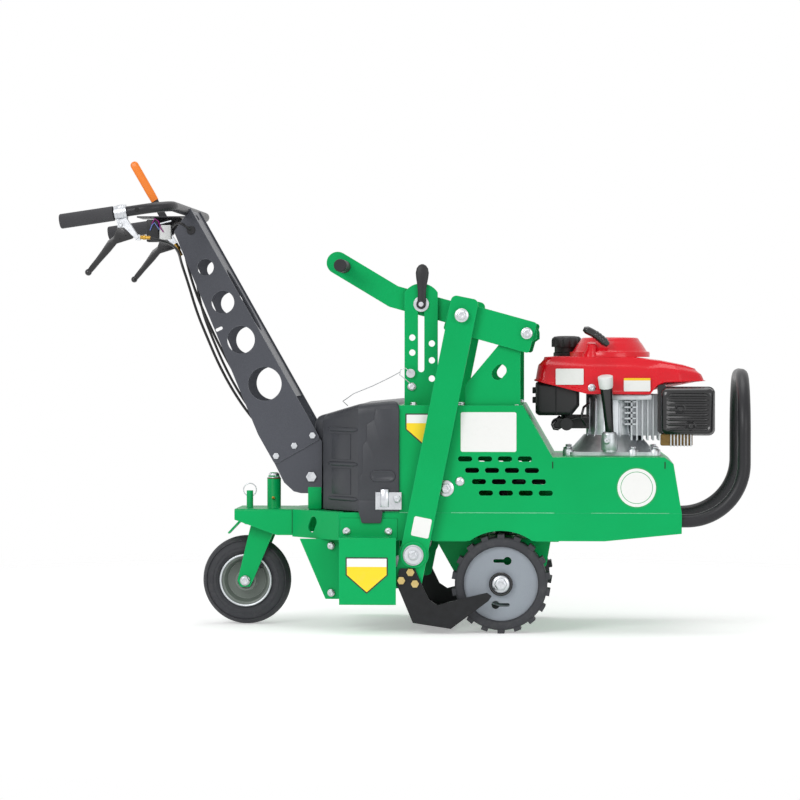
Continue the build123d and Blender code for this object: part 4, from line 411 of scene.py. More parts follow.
def wear(piece, body, finish, edge=0.0, smooth=35, steps=2):
    """Gives a piece its finish, rounds its edges, and lets it ride on its body."""
    piece.data.materials.append(FINISHES[finish])
    if edge:
        deselect_all()
        piece.select_set(True)
        bpy.context.view_layer.objects.active = piece
        bevel = piece.modifiers.new("edge_radius", "BEVEL")
        bevel.width = edge
        bevel.segments = steps
        bevel.limit_method = "ANGLE"
        bevel.angle_limit = radians(30)
        bpy.ops.object.modifier_apply(modifier=bevel.name)
    deselect_all()
    piece.select_set(True)
    bpy.context.view_layer.objects.active = piece
    bpy.ops.object.shade_smooth_by_angle(angle=radians(smooth))
    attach(piece, body)
    return piece


def again(piece, name, move=(0, 0, 0), mirrored=False):
    """A copy with a mesh of its own, moved, or mirrored to the machine's other side."""
    twin = piece.copy()
    twin.data = piece.data.copy()
    twin.name = name
    bpy.context.scene.collection.objects.link(twin)
    for vertex in twin.data.vertices:
        vertex.co += Vector(move)
        if mirrored:
            vertex.co.y = -vertex.co.y
    if mirrored:
        twin.data.flip_normals()
    return twin


def circle(radius, sides=32, phase=0.0):
    """Corner points of a circle, as pairs."""
    return [
        (radius * cos(phase + 2 * pi * i / sides), radius * sin(phase + 2 * pi * i / sides))
        for i in range(sides)
    ]


def rounded(corners, radius, steps=4):
    """An outline with each corner turned into a small arc."""
    points = []
    for i, corner in enumerate(corners):
        here = Vector(corner)
        before = (Vector(corners[i - 1]) - here).normalized()
        after = (Vector(corners[(i + 1) % len(corners)]) - here).normalized()
        half = before.angle(after) / 2
        reach = radius / tan(half)
        centre = here + (before + after).normalized() * (radius / sin(half))
        start = here + before * reach - centre
        end = here + after * reach - centre
        for step in range(steps + 1):
            arm = start.lerp(end, step / steps).normalized() * radius
            points.append(tuple(centre + arm))
    return points


def plate(name, outline, near_y, thickness):
    """An upright plate from an outline in X and Z; near_y is its face nearest the camera."""
    return skin(name, [[(x, y, z) for x, z in outline] for y in (near_y, near_y + thickness)])


def turned(name, profile, base=(0, 0, 0), axis=(0, 0, 1), sides=32, phase=0.0, hoop=False):
    """A round piece from (radius, height) pairs along an axis; a hoop's profile closes on itself."""
    if hoop:
        profile = [*profile, profile[0]]
    aim = Vector(axis).normalized().to_track_quat("Z", "Y")
    rings = []
    for radius, height in profile:
        ring = [Vector((x, y, height)) for x, y in circle(radius, sides, phase)]
        rings.append([Vector(base) + aim @ point for point in ring])
    return skin(name, rings, closed=not hoop)


def swept(name, path, section, closed=True, scales=None):
    """A section of pairs carried along a path, kept square to it."""
    points = [Vector(p) for p in path]
    rings = []
    frame_quat = (points[1] - points[0]).to_track_quat("Z", "Y")
    for i, point in enumerate(points):
        ahead = points[min(i + 1, len(points) - 1)] - points[max(i - 1, 0)]
        swing = (frame_quat @ Vector((0, 0, 1))).rotation_difference(ahead)
        frame_quat = swing @ frame_quat
        scale = scales[i] if scales else 1
        rings.append([point + frame_quat @ Vector((x * scale, y * scale, 0)) for x, y in section])
    return skin(name, rings, closed)


print("modelling helpers ready")

# %% [markdown]
# ## Bolts, washers and rivets
# Hex bolts with flanged heads hold the guards and plates. One head is turned with six sides
# over a round flange and copied to each place, because on the machine they are all the same
# part too. The carriage bolts have a shallow dome instead, with no drive at all.

# %% Bolt heads
def hex_bolt(name, place, axis, radius, body="chassis", washer=1.35, finish="zinc_plate"):
    """A flanged hex head: washer, six-sided head with a chamfer and a low dome."""
    head = radius / cos(pi / 6)
    flange = turned(
        name + "_washer",
        [(radius * washer, 0), (radius * washer, radius * 0.16), (radius * 1.12, radius * 0.34)],
        place, axis,
    )
    wear(flange, body, finish, radius * 0.05)
    lift = Vector(place) + Vector(axis).normalized() * radius * 0.25
    cap = turned(
        name,
        [(head, 0), (head, radius * 0.62), (radius * 0.90, radius * 0.80), (radius * 0.55, radius * 0.84),
         (radius * 0.48, radius * 0.74)],
        lift, axis, 6,
    )
    return wear(cap, body, finish, radius * 0.04, 25)


def dome_bolt(name, place, axis, radius, body="chassis", finish="zinc_plate"):
    """A carriage bolt's shallow dome."""
    arc = [(radius * cos(a), radius * 0.45 * sin(a)) for a in (0, 0.3, 0.6, 0.9, 1.2, 1.45)]
    return wear(turned(name, [(radius, -0.0005), *arc], place, axis), body, finish)


NEAR = (0, -1, 0)
for count, (x, y, z, radius) in enumerate([
    (-0.134, -0.2032, 0.222, 0.0062), (-0.042, -0.2032, 0.222, 0.0062),
    (-0.172, -0.1562, 0.187, 0.0062), (-0.172, -0.1562, 0.083, 0.0062),
]):
    hex_bolt(f"guard_bolt_{count}", (x, y, z), NEAR, radius)
    hex_bolt(f"left_guard_bolt_{count}", (x, -y, z), (0, 1, 0), radius)
dome_bolt("panel_carriage_bolt", (0.1142, -0.2001, 0.3317), NEAR, 0.0105)
hex_bolt("panel_adjuster_bolt", (0.0835, -0.2001, 0.3165), NEAR, 0.0105, washer=1.7)
dome_bolt("left_panel_carriage_bolt", (0.1142, 0.2001, 0.3317), (0, 1, 0), 0.0105)
print("loose bolts placed")

# %% [markdown]
# ## Labels, left blank
# The panels carry printed labels. They are thin vinyl plates with rounded corners: white, and
# on the safety shields a yellow lower half inside a dark border. The print itself is left
# out. Each label is a real plate 0.3 mm thick, so that its edge catches light as vinyl does,
# and its colours come from its own height and outline.

# %% Label finishes
def label_finish(name, lower, upper, split_z, blend=0.0004):
    """Vinyl with one colour below a height and another above it."""
    finish = Finish(name, Roughness=0.32, Specular_IOR_Level=0.5)
    above = finish.ramp((finish.axis("Z") - split_z) * (1 / blend) + 0.5, (0.4, 0), (0.6, 1))
    tone = finish.mix(above, shade(lower), shade(upper))
    soil = finish.ramp(finish.noise(70.0, 5.0, 0.7), (0.52, 0), (0.8, 1))
    finish.set("Base Color", finish.mix(soil * 0.10, tone, shade("B9B7AE")))
    finish.set("Normal", finish.bump(finish.noise(350.0), 0.04, 0.0004))
    return finish


label_finish("white_vinyl", "F4F4F2", "F4F4F2", 0)
label_finish("dark_vinyl", "1E1E20", "1E1E20", 0)
label_finish("guard_shield_vinyl", "FFDD1F", "F6F6F4", 0.1475)
label_finish("panel_shield_vinyl", "FFDD1F", "F6F6F4", 0.4590)
label_finish("engine_label_vinyl", "F4F4F2", "FFCF1A", 0.5515)
label_finish("green_ring_vinyl", "00A659", "00A659", 0)


def label(name, outline, y, finish, body="chassis", radius=0.004):
    """A vinyl label on a near face, 0.3 mm thick."""
    sheet = plate(name, rounded(outline, radius), y - 0.0003, 0.0003)
    return wear(sheet, body, finish)


def shield(name, left, right, top, shoulder, tip, y, finish):
    """A five-sided safety shield: a dark border with the coloured field laid on it."""
    middle = (left + right) / 2
    rim = [(left, top), (right, top), (right, shoulder), (middle, tip), (left, shoulder)]
    label(name + "_border", rim, y, "dark_vinyl", radius=0.002)
    inset = 0.0026
    field = [
        (left + inset, top - inset), (right - inset, top - inset), (right - inset, shoulder + inset * 0.4),
        (middle, tip + inset * 1.4), (left + inset, shoulder + inset * 0.4),
    ]
    label(name, field, y - 0.0003, finish, radius=0.0012)


shield("guard_shield", -0.1325, -0.0405, 0.1680, 0.1290, 0.0885, -0.2452, "guard_shield_vinyl")
shield("panel_shield", -0.0050, 0.0870, 0.4800, 0.4450, 0.4045, -0.2002, "panel_shield_vinyl")
label("panel_instruction_label", [(0.1160, 0.3965), (0.2375, 0.3965), (0.2375, 0.4830), (0.1160, 0.4830)],
      -0.2002, "white_vinyl")
disc = turned("round_badge_ring", [(0.0448, 0), (0.0448, 0.0003)], (0.4991, -0.2002, 0.3191), NEAR, 64)
wear(disc, "chassis", "green_ring_vinyl")
badge = turned("round_badge", [(0.0418, 0), (0.0418, 0.0003)], (0.4991, -0.2005, 0.3191), NEAR, 64)
wear(badge, "chassis", "white_vinyl")
ring = turned("round_badge_inner_ring", [(0.0350, 0), (0.0350, 0.0002)], (0.4991, -0.2008, 0.3191), NEAR, 64)
wear(ring, "chassis", "green_ring_vinyl")
centre = turned("round_badge_centre", [(0.0338, 0), (0.0338, 0.0002)], (0.4991, -0.2010, 0.3191), NEAR, 64)
wear(centre, "chassis", "white_vinyl")
lean = Vector((sin(radians(11.4)), cos(radians(11.4))))
side = Vector((lean.y, -lean.x))
arm_label_at = Vector((0.0315, 0.2325))
corners = [arm_label_at + side * a * 0.0195 + lean * b * 0.0215 for a, b in ((-1, -1), (1, -1), (1, 1), (-1, 1))]
label("arm_label", [tuple(c) for c in corners], -0.2242, "white_vinyl", "blade_arms")
print("labels placed")

# %% [markdown]
# ## Engine shroud
# The red shroud is one moulding: a plan like a rounded box that is drawn in towards the
# crown, with a crease where the side wall turns, and a lower edge that sweeps up at both
# ends. So it is built from its plan at several heights, and the height at each point follows
# two side-view curves, one for the lower edge and one for the crown.

# %% Shroud
def along(value, pairs):
    """Straight-line reading of a table of (x, z) pairs."""
    for (x0, z0), (x1, z1) in zip(pairs, pairs[1:]):
        if value <= x1:
            share = min(max((value - x0) / (x1 - x0), 0), 1)
            return z0 + (z1 - z0) * share
    return pairs[-1][1]


LOWER_EDGE = [(0.272, 0.551), (0.315, 0.541), (0.392, 0.5215), (0.530, 0.5205), (0.545, 0.540),
              (0.560, 0.547), (0.652, 0.550)]
CROWN = [(0.272, 0.6), (0.30, 0.6035), (0.486, 0.6025), (0.552, 0.5945), (0.602, 0.585), (0.630, 0.5775),
         (0.655, 0.566)]
PLAN = rounded([(0.274, -0.104), (0.40, -0.112), (0.60, -0.106), (0.653, -0.082), (0.653, 0.082),
                (0.60, 0.106), (0.40, 0.112), (0.274, 0.104)], 0.022, 6)


def with_stops(outline, step):
    """The same outline with extra points, so that no side is longer than the step."""
    points = []
    for i, point in enumerate(outline):
        here, following = Vector(point), Vector(outline[(i + 1) % len(outline)])
        count = max(1, round((following - here).length / step))
        points += [here.lerp(following, k / count) for k in range(count)]
    return points


def drawn_in(outline, amount):
    """The outline scaled about its middle, so that each side moves in by the amount."""
    wide = [max(p[k] for p in outline) - min(p[k] for p in outline) for k in (0, 1)]
    middle = [(max(p[k] for p in outline) + min(p[k] for p in outline)) / 2 for k in (0, 1)]
    scale = [1 - 2 * amount / w for w in wide]
    return [Vector([middle[k] + (p[k] - middle[k]) * scale[k] for k in (0, 1)]) for p in outline]


PLAN = with_stops(PLAN, 0.008)


shroud_rings = []
for amount, share in [(0.0035, 0.0), (0.0005, 0.0), (0.0, 0.03), (0.0005, 0.07), (0.0035, 0.10), (0.006, 0.40),
                      (0.0085, 0.66), (0.0100, 0.72), (0.0135, 0.77), (0.0205, 0.90), (0.0215, 0.965),
                      (0.0225, 1.0)]:
    shroud_rings.append([
        (p.x, p.y, along(p.x, LOWER_EDGE) * (1 - share) + along(p.x, CROWN) * share)
        for p in drawn_in(PLAN, amount)
    ])
for share, rise in ((0.88, 0.0016), (0.6, 0.002), (0.25, 0.002)):
    ring_points = []
    for x, y, z in shroud_rings[11]:
        x_in = 0.46 + (x - 0.46) * share
        ring_points.append((x_in, y * share, along(x_in, CROWN) + rise))
    shroud_rings.append(ring_points)
shroud = wear(skin("engine_shroud_moulding", shroud_rings), "chassis", "red_shroud_plastic", smooth=28)
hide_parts("engine_shroud")
print("shroud", len(shroud.data.vertices), "vertices")

# %% [markdown]
# ## Recoil starter cover
# The starter sits under a round cover with cooling louvres. The cover is turned from its
# profile with one ring of faces per louvre, then the louvre faces are picked by height and
# by their angle, inset a little, and pushed in. The pushed-in faces also get the black finish:
# painted shade for the dark openings, on top of the real recesses.

# %% Recoil cover
RECOIL = Vector((0.442, 0, 0))
recoil_profile = [
    (0.0895, 0.603), (0.0895, 0.6125), (0.0885, 0.6145), (0.0835, 0.6155), (0.0815, 0.6175), (0.0795, 0.6215),
    (0.0770, 0.6250), (0.0755, 0.6275), (0.0730, 0.6310), (0.0715, 0.6335), (0.0685, 0.6370), (0.0670, 0.6390),
    (0.0645, 0.6435), (0.0625, 0.6455), (0.0590, 0.6465), (0.0300, 0.6475),
]
recoil = turned("recoil_cover", recoil_profile, RECOIL, sides=96)
recoil.data.materials.append(FINISHES["red_shroud_plastic"])
recoil.data.materials.append(FINISHES["gloss_black_enamel"])
deselect_all()
recoil.select_set(True)
bpy.context.view_layer.objects.active = recoil
louvre_heights = ((0.6215, 0.6250), (0.6275, 0.6310), (0.6335, 0.6370))
for polygon in recoil.data.polygons:
    turn = atan2(polygon.center.y - RECOIL.y, polygon.center.x - RECOIL.x) / (2 * pi) * 96
    in_row = any(low < polygon.center.z < high for low, high in louvre_heights)
    polygon.select = in_row and (turn + 100) % 16 > 4
bpy.ops.object.mode_set(mode="EDIT")
bpy.ops.mesh.select_mode(type="FACE")
bpy.ops.mesh.inset(thickness=0.0006, depth=0)
bpy.ops.mesh.extrude_region_shrink_fatten(TRANSFORM_OT_shrink_fatten={"value": -0.004})
# The pushed-in louvre faces take the black finish: painted shade of the openings.
recoil.active_material_index = 1
bpy.ops.object.material_slot_assign()
bpy.ops.object.mode_set(mode="OBJECT")
bpy.ops.object.shade_smooth_by_angle(angle=radians(28))
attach(recoil, "chassis")
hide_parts("recoil_housing")
print("recoil cover with louvres")

# %% Starter rope boss and grip
spout = turned("rope_boss", [(0.020, 0), (0.0175, 0.010), (0.0125, 0.020), (0.011, 0.034), (0.009, 0.036)],
               (0.3985, -0.070, 0.600), (0.10, -0.28, 1.0), 28)
wear(spout, "chassis", "red_shroud_plastic")
grip_run = Vector((cos(radians(34)), 0, -sin(radians(34))))
grip_centre = Vector((0.4105, -0.0935, 0.6475))
grip_path, grip_scale = [], []
for step in range(33):
    at = step / 32
    grip_path.append(grip_centre + grip_run * (at - 0.5) * 0.066 + Vector((0, 0, 0.0045 * sin(pi * at))))
    end = min(1.0, 0.55 + 3.4 * min(at, 1 - at))
    ridge = 0.07 * (1 - cos(2 * pi * at * 9)) if at > 0.42 else 0.03
    grip_scale.append(end * (0.93 + ridge))
pull = swept("starter_grip", grip_path, [(x * 0.0105, y * 0.0092) for x, y in circle(1, 20)], scales=grip_scale)
wear(pull, "recoil_grip", "gloss_black_enamel", smooth=50)
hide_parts("recoil_grip")
print("starter grip")

# %% Fuel cap
def lobed(radius, height, depth, lobes=10, sides=80):
    """A ring of scallops, as fingers grip a cap."""
    ring_points = []
    for i in range(sides):
        turn = 2 * pi * i / sides
        r = radius - depth * (0.5 + 0.5 * cos(lobes * turn)) ** 3
        ring_points.append((0.345 + r * cos(turn), 0.064 + r * sin(turn), height))
    return ring_points


cap = skin("fuel_cap_moulding", [
    lobed(0.0345, 0.6255, 0.002), lobed(0.0350, 0.6275, 0.003), lobed(0.0350, 0.6400, 0.003),
    lobed(0.0335, 0.6450, 0.0025), lobed(0.0290, 0.6490, 0.001), lobed(0.0180, 0.6505, 0), lobed(0.0060, 0.6508, 0),
])
wear(cap, "fuel_cap", "black_plastic", smooth=40)
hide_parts("fuel_cap")
neck = turned("fuel_neck", [(0.030, 0.600), (0.030, 0.612), (0.0275, 0.614), (0.0275, 0.6255)], (0.345, 0.064, 0))
wear(neck, "chassis", "black_plastic")
print("fuel cap and neck")

# %% [markdown]
# ## Air cleaner, carburettor and the dark parts behind
# The air cleaner is a black box with rounded corners and a seam where its cover meets the
# body. The rounded box is a stack of its outline, a little smaller at both ends and pinched
# at the seam. The choke linkage is a few bent rods, each a circle swept along a path.

# %% Air cleaner
air_outline = rounded([(0.2775, 0.4790), (0.2845, 0.4740), (0.3560, 0.4740), (0.3730, 0.4950), (0.3730, 0.5400),
                       (0.2775, 0.5470)], 0.0055, 5)
air_rings = []
for y, amount in [(-0.0905, 0.009), (-0.0900, 0.006), (-0.0870, 0.0022), (-0.0820, 0.0), (-0.0480, 0.0),
                  (-0.0470, 0.0016), (-0.0450, 0.0016), (-0.0440, -0.0012), (-0.0390, -0.0012), (-0.0380, 0.0),
                  (0.0480, 0.0), (0.0500, 0.004)]:
    air_rings.append([(p.x, y, p.y) for p in drawn_in(air_outline, amount)])
air = wear(skin("air_cleaner_box", air_rings), "chassis", "black_plastic", smooth=40)
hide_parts("air_cleaner")
for count, (x, z) in enumerate(((0.2745, 0.5290), (0.2745, 0.5075))):
    clip = turned(f"air_cleaner_clip_{count}", [(0.0045, 0), (0.0050, 0.002), (0.0050, 0.012), (0.0040, 0.014)],
                  (x, -0.052, z - 0.007), sides=20)
    wear(clip, "chassis", "black_plastic")
rib = swept("air_cleaner_rib", [(0.3235, -0.0905, 0.4765), (0.3225, -0.0910, 0.5000), (0.3225, -0.0910, 0.5420)],
            circle(0.0016, 10))
wear(rib, "chassis", "black_plastic")
print("air cleaner")

# %% Choke linkage
for count, (path, radius) in enumerate([
    ([(0.330, -0.055, 0.470), (0.322, -0.066, 0.462), (0.314, -0.070, 0.452), (0.318, -0.070, 0.444),
      (0.328, -0.068, 0.443)], 0.0034),
    ([(0.328, -0.064, 0.466), (0.350, -0.070, 0.462), (0.372, -0.070, 0.468), (0.392, -0.064, 0.470)], 0.0024),
    ([(0.338, -0.060, 0.474), (0.346, -0.072, 0.458), (0.352, -0.074, 0.446)], 0.0030),
    ([(0.395, -0.060, 0.500), (0.384, -0.078, 0.492), (0.378, -0.080, 0.470), (0.388, -0.070, 0.452)], 0.0028),
]):
    rod = swept(f"choke_linkage_{count}", path, circle(radius, 12))
    wear(rod, "chassis", "gloss_black_enamel", smooth=60)
choke_ring = turned("choke_wheel", [(0.0075, 0), (0.0125, 0.0005), (0.0135, 0.003), (0.0125, 0.0055), (0.0075, 0.006)],
                    (0.325, -0.062, 0.4545), NEAR, 28)
wear(choke_ring, "chassis", "black_plastic")
print("linkage")

# %% [markdown]
# ## Cast crankcase
# The aluminium casting keeps its CAD shape, and gets what makes a casting read as one: ribs,
# a flange with bolts, bosses, and a machined strip under the shroud. Each rib is a slim
# wedge with rounded edges that sinks into the case.

# %% Crankcase ribs, flange bolts and boss
for count, turn in enumerate((-150, -128, -106, -72, -50, -28)):
    reach = Vector((cos(radians(turn)), sin(radians(turn)), 0))
    foot = Vector((0.446, 0, 0)) + reach * 0.052
    cross = Vector((-reach.y, reach.x, 0)) * 0.0022
    rings = []
    for z, deep in ((0.394, 0.040), (0.424, 0.014), (0.440, 0.0085), (0.512, 0.0070)):
        tip = foot + reach * deep
        rings.append([p + Vector((0, 0, z)) for p in (foot - cross, tip - cross, tip + cross, foot + cross)])
    wear(skin(f"crankcase_rib_{count}", rings), "chassis", "cast_aluminium", 0.0008)
for count, (x, y) in enumerate(((0.350, -0.078), (0.492, -0.086), (0.541, -0.082), (0.350, 0.078), (0.541, 0.082))):
    boss = turned(f"flange_boss_{count}", [(0.0125, 0.384), (0.0125, 0.397), (0.0115, 0.3985)], (x, y, 0))
    wear(boss, "chassis", "cast_aluminium")
    hex_bolt(f"flange_bolt_{count}", (x, y, 0.3985), (0, 0, 1), 0.0065)
strip = plate("machined_strip", [(0.440, 0.5085), (0.534, 0.5085), (0.534, 0.5200), (0.440, 0.5200)], -0.096, 0.06)
wear(strip, "chassis", "cast_aluminium", 0.001)
oil_boss = turned("oil_filler_boss", [(0.0185, 0), (0.0180, 0.022), (0.0165, 0.036), (0.0135, 0.040)],
                  (0.4405, -0.103, 0.398), (0, 0, 1), 36)
wear(oil_boss, "chassis", "cast_aluminium", 0.0008)
hex_bolt("oil_filler_boss_bolt", (0.4345, -0.1205, 0.4175), NEAR, 0.0052)
for count in range(5):
    z = 0.452 + count * 0.0125
    fin = plate(f"crankcase_band_{count}", rounded([(0.474, z), (0.500, z), (0.500, z + 0.004), (0.474, z + 0.004)],
                                                   0.0015, 2), -0.062, 0.04)
    wear(fin, "chassis", "cast_aluminium")
print("crankcase details")

# %% Oil filler tube and dipstick cap
tube = swept("oil_filler_tube", [(0.4415, -0.1065, 0.432), (0.4395, -0.1135, 0.456), (0.4362, -0.1255, 0.500),
                                 (0.4338, -0.1335, 0.528), (0.4332, -0.1350, 0.536)],
             circle(1, 28), scales=[0.0092, 0.0096, 0.0116, 0.0136, 0.0140])
wear(tube, "chassis", "gloss_black_enamel", smooth=50)
stick_axis = Vector((-0.008, -0.028, 0.096)).normalized()
cap = turned("dipstick_cap", [(0.0130, 0), (0.0150, 0.001), (0.0152, 0.005), (0.0160, 0.006), (0.0172, 0.024),
                              (0.0165, 0.0265), (0.0120, 0.0275)],
             Vector((0.4332, -0.1345, 0.535)), stick_axis, 12)
wear(cap, "dipstick", "white_cap_plastic", 0.0012, 50)
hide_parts("dipstick")
blade_strip = swept("dipstick_blade", [(0.4362, -0.1255, 0.505), (0.4362, -0.1255, 0.500), (0.4395, -0.1135, 0.456),
                                       (0.4415, -0.1065, 0.432)], [(-0.0022, -0.0005), (0.0022, -0.0005), (0.0022, 0.0005),
                                                                   (-0.0022, 0.0005)])
wear(blade_strip, "dipstick", "zinc_plate")
hex_bolt("shroud_bolt", (0.4015, -0.1085, 0.5350), NEAR, 0.0058, washer=1.5)
label("engine_label", [(0.3220, 0.5420), (0.3835, 0.5420), (0.3835, 0.5775), (0.3220, 0.5775)],
      -0.1078, "white_vinyl", radius=0.002)
label("engine_caution_label", [(0.4720, 0.5275), (0.5305, 0.5275), (0.5305, 0.5568), (0.4720, 0.5568)],
      -0.1093, "engine_label_vinyl", radius=0.002)
print("oil filler and engine labels")

# %% [markdown]
# ## Muffler and its guard
# The guard is a black enamelled box pressed from sheet, with rounded corners and a row of
# raised louvres. The box is its outline drawn in towards the face; each louvre is a bar with
# a half-round section and tapered ends, laid on the face. Below it the muffler shows its
# heat-tinted cooling ribs.

# %% Muffler guard
guard_outline = rounded([(0.5510, 0.4300), (0.6730, 0.4300), (0.6730, 0.5380), (0.5510, 0.5380)], 0.014, 6)
guard_rings = []
for y, amount in [(-0.0800, 0.0), (-0.0960, 0.0), (-0.0970, 0.0022), (-0.1280, 0.0026), (-0.1345, 0.0040),
                  (-0.1385, 0.0075), (-0.1400, 0.0115), (-0.1388, 0.0135), (-0.1380, 0.0150)]:
    guard_rings.append([(p.x, y, p.y) for p in drawn_in(guard_outline, amount)])
guard = wear(skin("muffler_guard_pressing", guard_rings), "chassis", "gloss_black_enamel", smooth=32)
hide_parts("muffler_guard")
for count in range(8):
    z = 0.5195 - count * 0.0107
    left = 0.5655 + (0.004 if count in (0, 7) else 0)
    path = [(left + share * (0.6570 - left), -0.1380, z) for share in (0, 0.04, 0.10, 0.5, 0.90, 0.96, 1)]
    louvre = swept(f"muffler_louvre_{count}", path, [(x * 0.0036, y * 0.0034) for x, y in circle(1, 12)],
                   scales=[0.25, 0.75, 1, 1, 1, 0.75, 0.25])
    wear(louvre, "chassis", "gloss_black_enamel", smooth=50)
for count, (x, z) in enumerate(((0.5955, 0.4888), (0.6180, 0.4515))):
    seat = turned(f"muffler_bolt_seat_{count}", [(0.0125, 0), (0.0115, 0.0035), (0.0100, 0.0038), (0.0085, 0.0012)],
                  (x, -0.1378, z), NEAR, 32)
    wear(seat, "chassis", "gloss_black_enamel")
    hex_bolt(f"muffler_bolt_{count}", (x, -0.1384, z), NEAR, 0.0050, finish="gloss_black_enamel")
inlet = turned("muffler_inlet", [(0.020, 0), (0.020, 0.030)], (0.574, -0.045, 0.486), (0, -1, 0), 28)
wear(inlet, "chassis", "heat_bronzed_steel", 0.001)
back = plate("muffler_heat_shield", rounded([(0.5470, 0.4360), (0.5640, 0.4360), (0.5640, 0.5420), (0.5470, 0.5420)],
                                            0.004), -0.105, 0.06)
wear(back, "chassis", "gloss_black_enamel")
base = plate("muffler_base", rounded([(0.5530, 0.4080), (0.6230, 0.4080), (0.6230, 0.4330), (0.5530, 0.4330)], 0.003),
             -0.118, 0.036)
wear(base, "chassis", "heat_bronzed_steel")
for count in range(7):
    x = 0.5740 + count * 0.0073
    fin = plate(f"muffler_fin_{count}", rounded([(x, 0.4065), (x + 0.0028, 0.4065), (x + 0.0028, 0.4330), (x, 0.4330)],
                                               0.0009, 2), -0.1235, 0.042)
    wear(fin, "chassis", "cast_aluminium")
print("muffler")

# %% [markdown]
# ## Control cables
# Three sheathed cables run from the hand controls down behind the channel and into the
# cover. Each is one smooth curve whose control points are the route of the CAD cable, with a
# round bevel for the sheath. A NURBS spline is used because it never kinks between points.

# %% Cables
RIGHT_ROUTE = [
    (-0.568, -0.318, 0.8612), (-0.528, -0.304, 0.8572), (-0.508, -0.254, 0.8472), (-0.504, -0.192, 0.8332),
    (-0.508, -0.130, 0.8132), (-0.500, -0.072, 0.768), (-0.484, -0.050, 0.704), (-0.460, -0.044, 0.644),
    (-0.434, -0.044, 0.584), (-0.404, -0.042, 0.528), (-0.370, -0.042, 0.478), (-0.332, -0.042, 0.434),
    (-0.290, -0.042, 0.402), (-0.246, -0.042, 0.386), (-0.1943, -0.042, 0.382),
]
SPEED_ROUTE = [
    (-0.538, 0.014, 0.893), (-0.524, 0.014, 0.861), (-0.512, 0.010, 0.806), (-0.494, 0.004, 0.750),
    (-0.470, 0.0, 0.694), (-0.444, 0.0, 0.638), (-0.414, 0.0, 0.582), (-0.382, 0.0, 0.530),
    (-0.348, 0.0, 0.482), (-0.312, 0.0, 0.438), (-0.272, 0.0, 0.408), (-0.230, 0.0, 0.394), (-0.1943, 0.0, 0.390),
]
LEFT_ROUTE = [(x, -y, z) for x, y, z in RIGHT_ROUTE]
for name, route in (("right_cable", RIGHT_ROUTE), ("left_cable", LEFT_ROUTE), ("speed_cable", SPEED_ROUTE)):
    deselect_all()
    bpy.ops.curve.primitive_nurbs_path_add(location=(0, 0, 0))
    cable = bpy.context.object
    cable.name = name
    cable.data.splines.clear()
    spline = cable.data.splines.new("NURBS")
    spline.points.add(len(route) - 1)
    for point, place in zip(spline.points, route):
        point.co = (*place, 1)
    spline.order_u = 3
    spline.use_endpoint_u = True
    spline.resolution_u = 8
    cable.data.bevel_depth = 0.003
    cable.data.bevel_resolution = 3
    cable.data.use_fill_caps = True
    cable.data.materials.append(FINISHES["cable_sheath"])
    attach(cable, "chassis")
    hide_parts("control_cables")
print("three cables")

# %% [markdown]
# ## Brake levers
# Each lever is a casting with a flat triangular heel that tapers into a curved finger and
# ends in a ball. The outline is drawn once, made into a plate, and its rim is beveled wide,
# so that the plate reads as a rounded casting. The left one is a mirrored copy.

# %% Brake levers
HEEL = Vector((-0.6120, 0.8882))
LEVER_OUTLINE = [
    (-5.5, 6.0), (3.1, 6.5), (17, -7.6), (30, -24.5), (24.5, -30), (-9.2, -40.4), (-22, -56), (-33, -68),
    (-45, -81), (-56, -94), (-67, -106), (-75, -100), (-67, -88), (-54, -72), (-41, -54), (-27, -33), (-14.7, -23.9),
    (-10.4, -12.2),
]
lever_outline = [tuple(HEEL + Vector(p) / 1000) for p in LEVER_OUTLINE]
for body, sign in (("right_brake_lever", -1), ("left_brake_lever", 1)):
    lever = plate(body + "_casting", rounded(lever_outline, 0.0025, 3), sign * 0.318 - 0.004, 0.008)
    wear(lever, body, "gloss_black_enamel", 0.0022, 50, 3)
    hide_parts(body)
    ball_profile = [(0.0075 * sin(pi * k / 12) + 0.00001, -0.0075 * cos(pi * k / 12)) for k in range(13)]
    ball = turned(body + "_ball", ball_profile, (-0.6830, sign * 0.318, 0.7865), (0, 1, 0), 28)
    wear(ball, body, "gloss_black_enamel", smooth=60)
    for count, (x, z) in enumerate(((-0.6010, 0.8655), (-0.6140, 0.8580))):
        # Matt black plugs in the two holes: painted shade standing for the dark inside of the holes.
        hole_shade_plug = turned(f"{body}_hole_{count}", [(0.0016, 0), (0.0016, 0.0084)], (x, sign * 0.318 - 0.0042, z), (0, 1, 0), 16)
        wear(hole_shade_plug, body, "belt_rubber")
    pin = turned(body + "_pivot_rivet", [(0.0048, 0), (0.0048, 0.0012), (0.0034, 0.0022), (0.0028, 0.0014)],
                 (-0.6120, sign * 0.3268, 0.8882), (0, sign, 0), 24)
    wear(pin, "chassis", "zinc_plate")
    ferrule = turned(body + "_cable_ferrule", [(0.0042, 0), (0.0042, 0.006), (0.0052, 0.0065), (0.0052, 0.012),
                                               (0.0040, 0.0125), (0.0040, 0.022), (0.0032, 0.0225)],
                     (-0.5705, sign * 0.318, 0.8617), (0.96, 0, -0.05), 20)
    wear(ferrule, "chassis", "brass")
    clamp_band = turned(body + "_clamp_band", [(0.0158, -0.007), (0.0166, -0.006), (0.0166, 0.006), (0.0158, 0.007)],
                        (-0.6120, sign * 0.318, 0.9152), (0.9895, 0, 0.1443), 36)
    wear(clamp_band, "chassis", "zinc_plate")
    screw_at = (-0.6120, sign * 0.3275, 0.9250)
    hex_bolt(body + "_clamp_screw", screw_at, (0, sign, 0.15), 0.0036)
print("brake levers")

